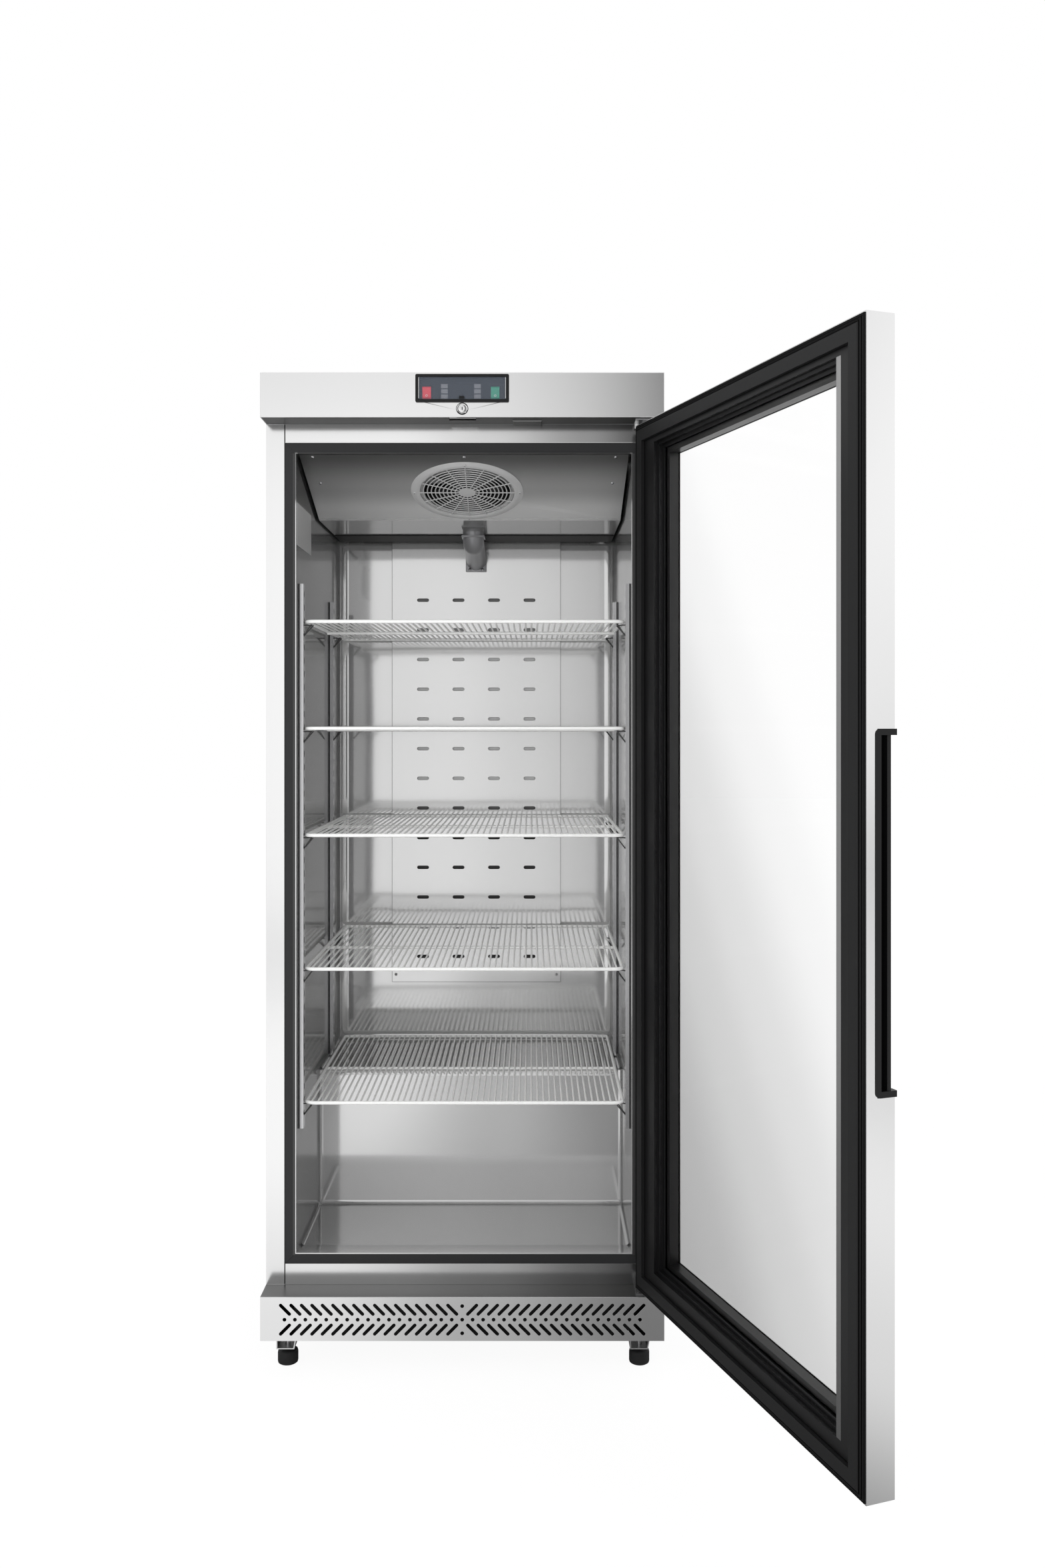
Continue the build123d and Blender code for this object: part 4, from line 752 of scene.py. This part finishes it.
# %%
low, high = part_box("drain_elbow")
drain_y = 138 * mm
drain_run = [Vector((0, drain_y, 1700 * mm)), Vector((0, drain_y, 1668 * mm)),
             Vector((0, drain_y + 40 * mm, 1665 * mm)), Vector((0, high.y - 4 * mm, 1646 * mm))]
elbow = wires("drain_pipe", [drain_run], 24.4 * mm, "grey_plastic", kind="NURBS", sides=8)
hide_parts("drain_elbow")
rounded_box("drain_flange", Vector((-25 * mm, high.y - 4.5 * mm, low.z + 1 * mm)),
            Vector((25 * mm, high.y - 0.4 * mm, low.z + 44 * mm)), 1.2 * mm, "grey_plastic", segments=3)
rounded_box("drain_collar", Vector((-26.5 * mm, drain_y - 26.5 * mm, 1678 * mm)),
            Vector((26.5 * mm, drain_y + 26.5 * mm, 1682 * mm)), 1.5 * mm, "grey_plastic", segments=3)


def screw(name, place, axis, radius, material="zinc"):
    """A pan head, its flat side on the surface, with a black cross as painted shade for its recess. The radius is
    in mm.
    """
    side = axis.orthogonal().normalized()
    crown = radius * 0.62
    head = lathe([(0.02, crown), (radius * 0.6, radius * 0.52), (radius * 0.92, radius * 0.26), (radius, 0),
                  (0.02, 0)], place, axis, side, 16)
    piece(name, head, material, 50)
    top, reach = place + axis * crown * mm, radius * 0.42 * mm
    marks = [[top + way * reach, top - way * reach] for way in (side, axis.cross(side))]
    wires(name + "_cross", marks, radius * 0.1 * mm, "black_paint")


cover_slope = math.tan(math.radians(19.86))
for count, (x, y) in enumerate([(-299, -195), (299, -195), (-300, -290), (0, -290), (300, -290)]):
    screw(f"cover_screw_{count}", Vector((x * mm, y * mm, (1782.4 - (y + 299) * cover_slope) * mm)), outward, 3.6)
for turn in range(4):
    screw(f"guard_screw_{turn}", on_guard(math.radians(90 * turn), 109, 3.6), outward, 3.2, "light_plastic")
for side in (-1, 1):
    screw(f"drain_screw_{side + 1}", Vector((side * 15 * mm, high.y - 4.5 * mm, 1624 * mm)), -Y, 3.6)
    screw(f"duct_screw_{side + 1}", Vector((side * 193.5 * mm, 292.2 * mm, 648 * mm)), -Y, 3.6)
# Painted shade: a black strip for the dark gap behind the cover.
rounded_box("cover_gap_shade", Vector((-324, 172, 1688.6)) * mm, Vector((324, 275, 1690.9)) * mm, 0.5 * mm,
            "black_rubber")
rounded_box("blank_foil_label", Vector((-329.6, -299, 1605)) * mm, Vector((-329.2, -128, 1689)) * mm, 0.15 * mm,
            "light_plastic")
print("small parts placed")

# %% [markdown]
# ## Lock face and switch marks
# The lock shows a polished collar round a barrel with a key slot, all turned on one axis. The rocker
# switches carry the usual line for on and ring for off.

# %%
low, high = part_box("lock_housing")
lock_z, front = 1857.3 * mm, low.y


def on_lock(behind, x=0.0, rise=0.0):
    """A point at the lock, so many mm behind its front."""
    return Vector((x * mm, front + behind * mm, lock_z + rise * mm))


collar = lathe([(7.9, 0.4), (8.3, 2.0), (9.2, 2.2), (10.4, 1.6), (11, 0.3), (11, 0), (7.9, 0.4)], on_lock(2.0),
               -Y, X, 48)
collar_piece = piece("lock_collar", collar, "polished_zinc", 30)
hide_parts("lock_housing")
wires("lock_outline", [ring(on_lock(1.7), 11.3 * mm)], 0.5 * mm, "black_rubber", closed=True)
shades = [arc(on_lock(0.6), 9.9 * mm, math.radians(first), math.radians(first + 95), 16) for first in (30, 210)]
wires("lock_shades", shades, 0.75 * mm, "black_plastic")
wires("lock_gap", [ring(on_lock(-0.2), 7.7 * mm)], 0.3 * mm, "black_rubber", "lock_barrel", closed=True)
face = lathe([(0.02, 0.25), (3.4, 0.25), (3.6, 0.05), (4.6, 0.05), (4.8, 0.35), (7.0, 0.3), (7.6, 0)],
             on_lock(-0.8), -Y, X, 48)
piece("lock_face", face, "polished_zinc", 30, "lock_barrel")
# The key slot is a thin black box, painted shade for the slot's depth.
rounded_box("key_slot", on_lock(-1.3, -0.9, -3), on_lock(-0.95, 0.9, 3), 0.12 * mm, "black_paint", "lock_barrel")
for rocker in ("rocker_red", "rocker_green"):
    low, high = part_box(rocker)
    middle = (low + high) / 2
    line = [Vector((middle.x, low.y + behind * mm, middle.z + rise * mm))
            for behind, rise in ((1.9, 8.6), (1.5, 5.4))]
    wires(rocker + "_on", [line], 0.5 * mm, "white_nylon", rocker)
    centre = Vector((middle.x, low.y + 0.8 * mm, middle.z - 7 * mm))
    wires(rocker + "_off", [ring(centre, 1.9 * mm, 20)], 0.35 * mm, "white_nylon", rocker, closed=True)
print("lock and switches")

# %% [markdown]
# ## Feet
# A levelling foot is a rubber cup with fine ribs for the fingers, on a threaded stud. The cup is turned with
# many sides and pulled in at every second edge to make the ribs, which is quicker than cutting each one.

# %%
cup_profile = [(0.05, 0), (17.5, 0), (19.2, 1.2), (19.9, 4), (19.9, 20.5), (19, 24), (16.5, 26), (0.05, 26)]
cup_sides = 72
rib_foot, rib_top, rib_depth = 3 * mm, 22 * mm, 0.7 * mm
for foot in ("front_left", "front_right", "rear_left", "rear_right"):
    node = "foot_" + foot
    low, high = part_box(node)
    centre = Vector(((low.x + high.x) / 2, (low.y + high.y) / 2, 0))
    cup = lathe(cup_profile, centre, Z, X, cup_sides)
    for vertex in cup.verts:
        flat = (vertex.co - centre) * Vector((1, 1, 0))
        step = round(math.atan2(flat.y, flat.x) / math.tau * cup_sides)
        if rib_foot < vertex.co.z < rib_top and step % 2:
            vertex.co -= flat.normalized() * rib_depth
    cup_piece = piece(node + "_cup", cup, "black_rubber", 50, node)
    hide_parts(node)
    stud = lathe([(5, 26), (5, high.z / mm), (0.05, high.z / mm)], centre, Z, X, 24)
    piece(node + "_stud", stud, "zinc", 50, node)
print("four ribbed feet")

# %% [markdown]
# ## Seams, folds and dark places
# Sheet metal is recognised by its seams: the dark line between stile and header, the mitres of the breaker
# frame, the edges of the air duct, the dark lip of the liner round the mouth. They are thin strips and cords
# laid in the joint. Behind the perforated kick plate stands a black sheet, painted shade for the dark inside
# of the base, with a short floor as on the real base, and a sheet behind the duct's slots shows as dark or
# light as in the photograph, painted light and shade along its height.

# %%
cabinet_front = -306.0


def strip(name, low, high, material):
    """A flat strip on the front of the cabinet, so thin that the door seal clears it."""
    rounded_box(name, Vector((low[0], cabinet_front - 0.2, low[1])) * mm,
                Vector((high[0], cabinet_front + 0.4, high[1])) * mm, 0.05 * mm, material)


seam_x = 351.9
breaker_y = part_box("breaker_frame")[0].y + 0.05 * mm
mitre_runs = []
for side in (-1, 1):
    strip(f"seam_{side + 1}", (side * seam_x - 0.9, 150), (side * seam_x + 0.9, 1840), "black_rubber")
    for outer, inner in ((1804, 1785), (190, 209)):
        mitre_runs.append([Vector((side * 351 * mm, breaker_y, outer * mm)),
                           Vector((side * 332 * mm, breaker_y, inner * mm))])
wires("mitres", mitre_runs, 0.3 * mm, "black_rubber")
strip("header_fold", (-351, 1804.1), (351, 1805.1), "polished_zinc")
wires("folds", [[Vector((x, -364.7, z)) * mm for x in (-388, 388)] for z in (148.9, 1841.4)], 0.6 * mm,
      "polished_zinc")

low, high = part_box("duct_panel")
edge_x, edge_y = high.x + 0.1 * mm, low.y + 0.3 * mm
duct_runs = [[Vector((side * edge_x, y, z)) for z in (low.z, high.z)]
             for side in (-1, 1) for y in (edge_y, high.y - 0.6 * mm)]
duct_runs.append([Vector((x, edge_y, low.z)) for x in (low.x, high.x)])
wires("duct_edges", duct_runs, 0.45 * mm, "black_rubber")
# Painted light and shade on the sheet seen through the duct's slots.
rounded_box("duct_inside", Vector((-196 * mm, low.y + 6 * mm, 660 * mm)),
            Vector((196 * mm, low.y + 7 * mm, 1600 * mm)), 0.3 * mm, "duct_back")

low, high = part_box("hood_fascia")
cam_half, side_near = 26 * mm, low.y + 1.6 * mm
# The sheets closing the hood's underside are dull steel; their dark tone is also painted shade under the
# overhang.
for word, start, end, near in (("left", low.x + 1.5 * mm, -cam_half, side_near),
                               ("right", cam_half, high.x - 1.5 * mm, side_near),
                               ("middle", -cam_half, cam_half, -336 * mm)):
    rounded_box("hood_closing_" + word, Vector((start, near, low.z - 0.1 * mm)),
                Vector((end, -306.5 * mm, low.z + 0.5 * mm)), 0.2 * mm, "dull_steel")

# Painted shade: the black sheet behind the kick plate stands for the dark inside of the base.
for name, start, end, eased, material in (
        ("mouth_lip", (-327, -306.3, 1782.7), (327, -299.6, 1784.9), 0.2, "duct_dark"),
        ("mouth_lip_0", (-336, -306.3, 207), (-331.4, -305.9, 1783), 0.1, "duct_dark"),
        ("mouth_lip_2", (331.4, -306.3, 207), (336, -305.9, 1783), 0.1, "duct_dark"),
        ("kick_shade_sheet", (-330, -324, 66), (330, -323, 148), 0.2, "black_paint"),
        ("kick_floor", (-318, -355, 65.6), (318, -324, 66.6), 0.2, "galvanised_steel")):
    rounded_box(name, Vector(start) * mm, Vector(end) * mm, eased * mm, material)
print("seams and baffles")

# %% [markdown]
# ## Window edges and switch surrounds
# The tinted flap over the controls is a thick clear plate: its two cut ends catch the light, and a dark
# finger tab sits in the middle of its lower edge. Behind it each rocker switch has a dark surround, made of
# three bars so that nothing stands where the rocker tips.

# %%
low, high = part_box("control_window")
for side in (-1, 1):
    edge = side * (high.x - 0.9 * mm)
    rounded_box(f"window_edge_{side + 1}", Vector((edge - 0.6 * mm, low.y - 0.2 * mm, low.z + 1 * mm)),
                Vector((edge + 0.6 * mm, low.y + 0.6 * mm, high.z - 1 * mm)), 0.2 * mm, "light_plastic",
                "control_window")
rounded_box("window_tab", Vector((-6 * mm, low.y - 0.6 * mm, low.z + 0.6 * mm)),
            Vector((4 * mm, low.y + 0.2 * mm, low.z + 5.5 * mm)), 0.25 * mm, "black_plastic", "control_window")
plate_front, around, reach, bar_height = -357.0 * mm, 0.6 * mm, 13 * mm, 3.2 * mm
for rocker in ("rocker_red", "rocker_green"):
    low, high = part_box(rocker)
    centre = (low.x + high.x) / 2
    bottom, top = low.z - around, high.z + around
    for count, (start, end, foot, head) in enumerate(((centre - reach, low.x - around, bottom, top),
                                                      (high.x + around, centre + reach, bottom, top),
                                                      (centre - reach, centre + reach, top, top + bar_height))):
        rounded_box(f"{rocker}_surround_{count}", Vector((start, plate_front - 0.4 * mm, foot)),
                    Vector((end, plate_front + 0.1 * mm, head)), 0.1 * mm, "black_plastic")
print("window edges, tab and switch surrounds")

# %% [markdown]
# ## Door seal and glazing step
# The seal is a bellows with a magnet strip: between its ridges it is deep black, painted shade drawn as
# black wires, with one more further in. Beside the glass, on the handle side, a narrow grey strip is a
# painted sheen of the black bevel there. Both are laid out on the closed door, where their places are easy
# to say, and then turned with it to its open place.

# %%
hinge, open_angle = Vector((373 * mm, -347 * mm, 0)), math.radians(110)
opened = Matrix.Translation(hinge) @ Matrix.Rotation(open_angle, 4, "Z") @ Matrix.Translation(-hinge)
door_reach, door_bottom, door_top = 386, 159, 1828.5
# Painted shade: deep black wires in the seal's folds.
groove_runs = []
for inset, y in ((3.0, -311.0), (7.4, -309.4), (11.8, -307.9), (36.2, -313.4)):
    x, bottom, top = (door_reach - inset) * mm, (door_bottom + inset) * mm, (door_top - inset) * mm
    groove_runs.append([opened @ Vector((px, y * mm, pz))
                        for px, pz in ((-x, bottom), (x, bottom), (x, top), (-x, top))])
wires("gasket_groove_shades", groove_runs, 1.1 * mm, "gasket_groove", "door", closed=True)
# Painted sheen: the grey strip beside the glass is the black bevel catching the light.
sheen_strip = rounded_box("glazing_bevel_sheen", Vector((-321.0 * mm, -313.9 * mm, 217.5 * mm)),
                   Vector((-309.2 * mm, -313.3 * mm, 1782 * mm)), 0.15 * mm, "bevel_sheen_grey", "door")
sheen_strip.data.transform(opened)
wires("door_top_fold", [[opened @ Vector((x * mm, -312.9 * mm, 1828.0 * mm)) for x in (-385, 385)]], 0.55 * mm,
      "polished_zinc", "door")
print("door details")

# %% [markdown]
# ## Softened edges
# No folded or moulded edge is sharp. The CAD bodies come as loose triangles, so each one is first merged and
# then given a narrow rounded edge by modifiers, which leave the mesh itself as it is.

# %%
def soften(node, width):
    obj = nodes[node]
    merge = obj.modifiers.new("merge", "WELD")
    merge.merge_threshold = 1e-5
    edge = obj.modifiers.new("soft edge", "BEVEL")
    edge.width = width
    edge.segments = 2
    edge.limit_method = "ANGLE"
    edge.angle_limit = math.radians(30)
    edge.miter_outer = "MITER_ARC"


edge_widths = {"hood_fascia": 0.8, "face_rails": 0.4, "side_panel_left": 0.8, "side_panel_right": 0.8,
               "door_skin": 0.8, "door_inner_frame": 0.8, "breaker_frame": 0.6, "control_bezel": 0.7,
               "door_handle": 0.7, "hinge_bracket_top": 0.5, "hinge_bracket_bottom": 0.5,
               "evaporator_cover": 0.5, "rocker_red": 0.6, "rocker_green": 0.6}
for node, width in edge_widths.items():
    soften(node, width * mm)
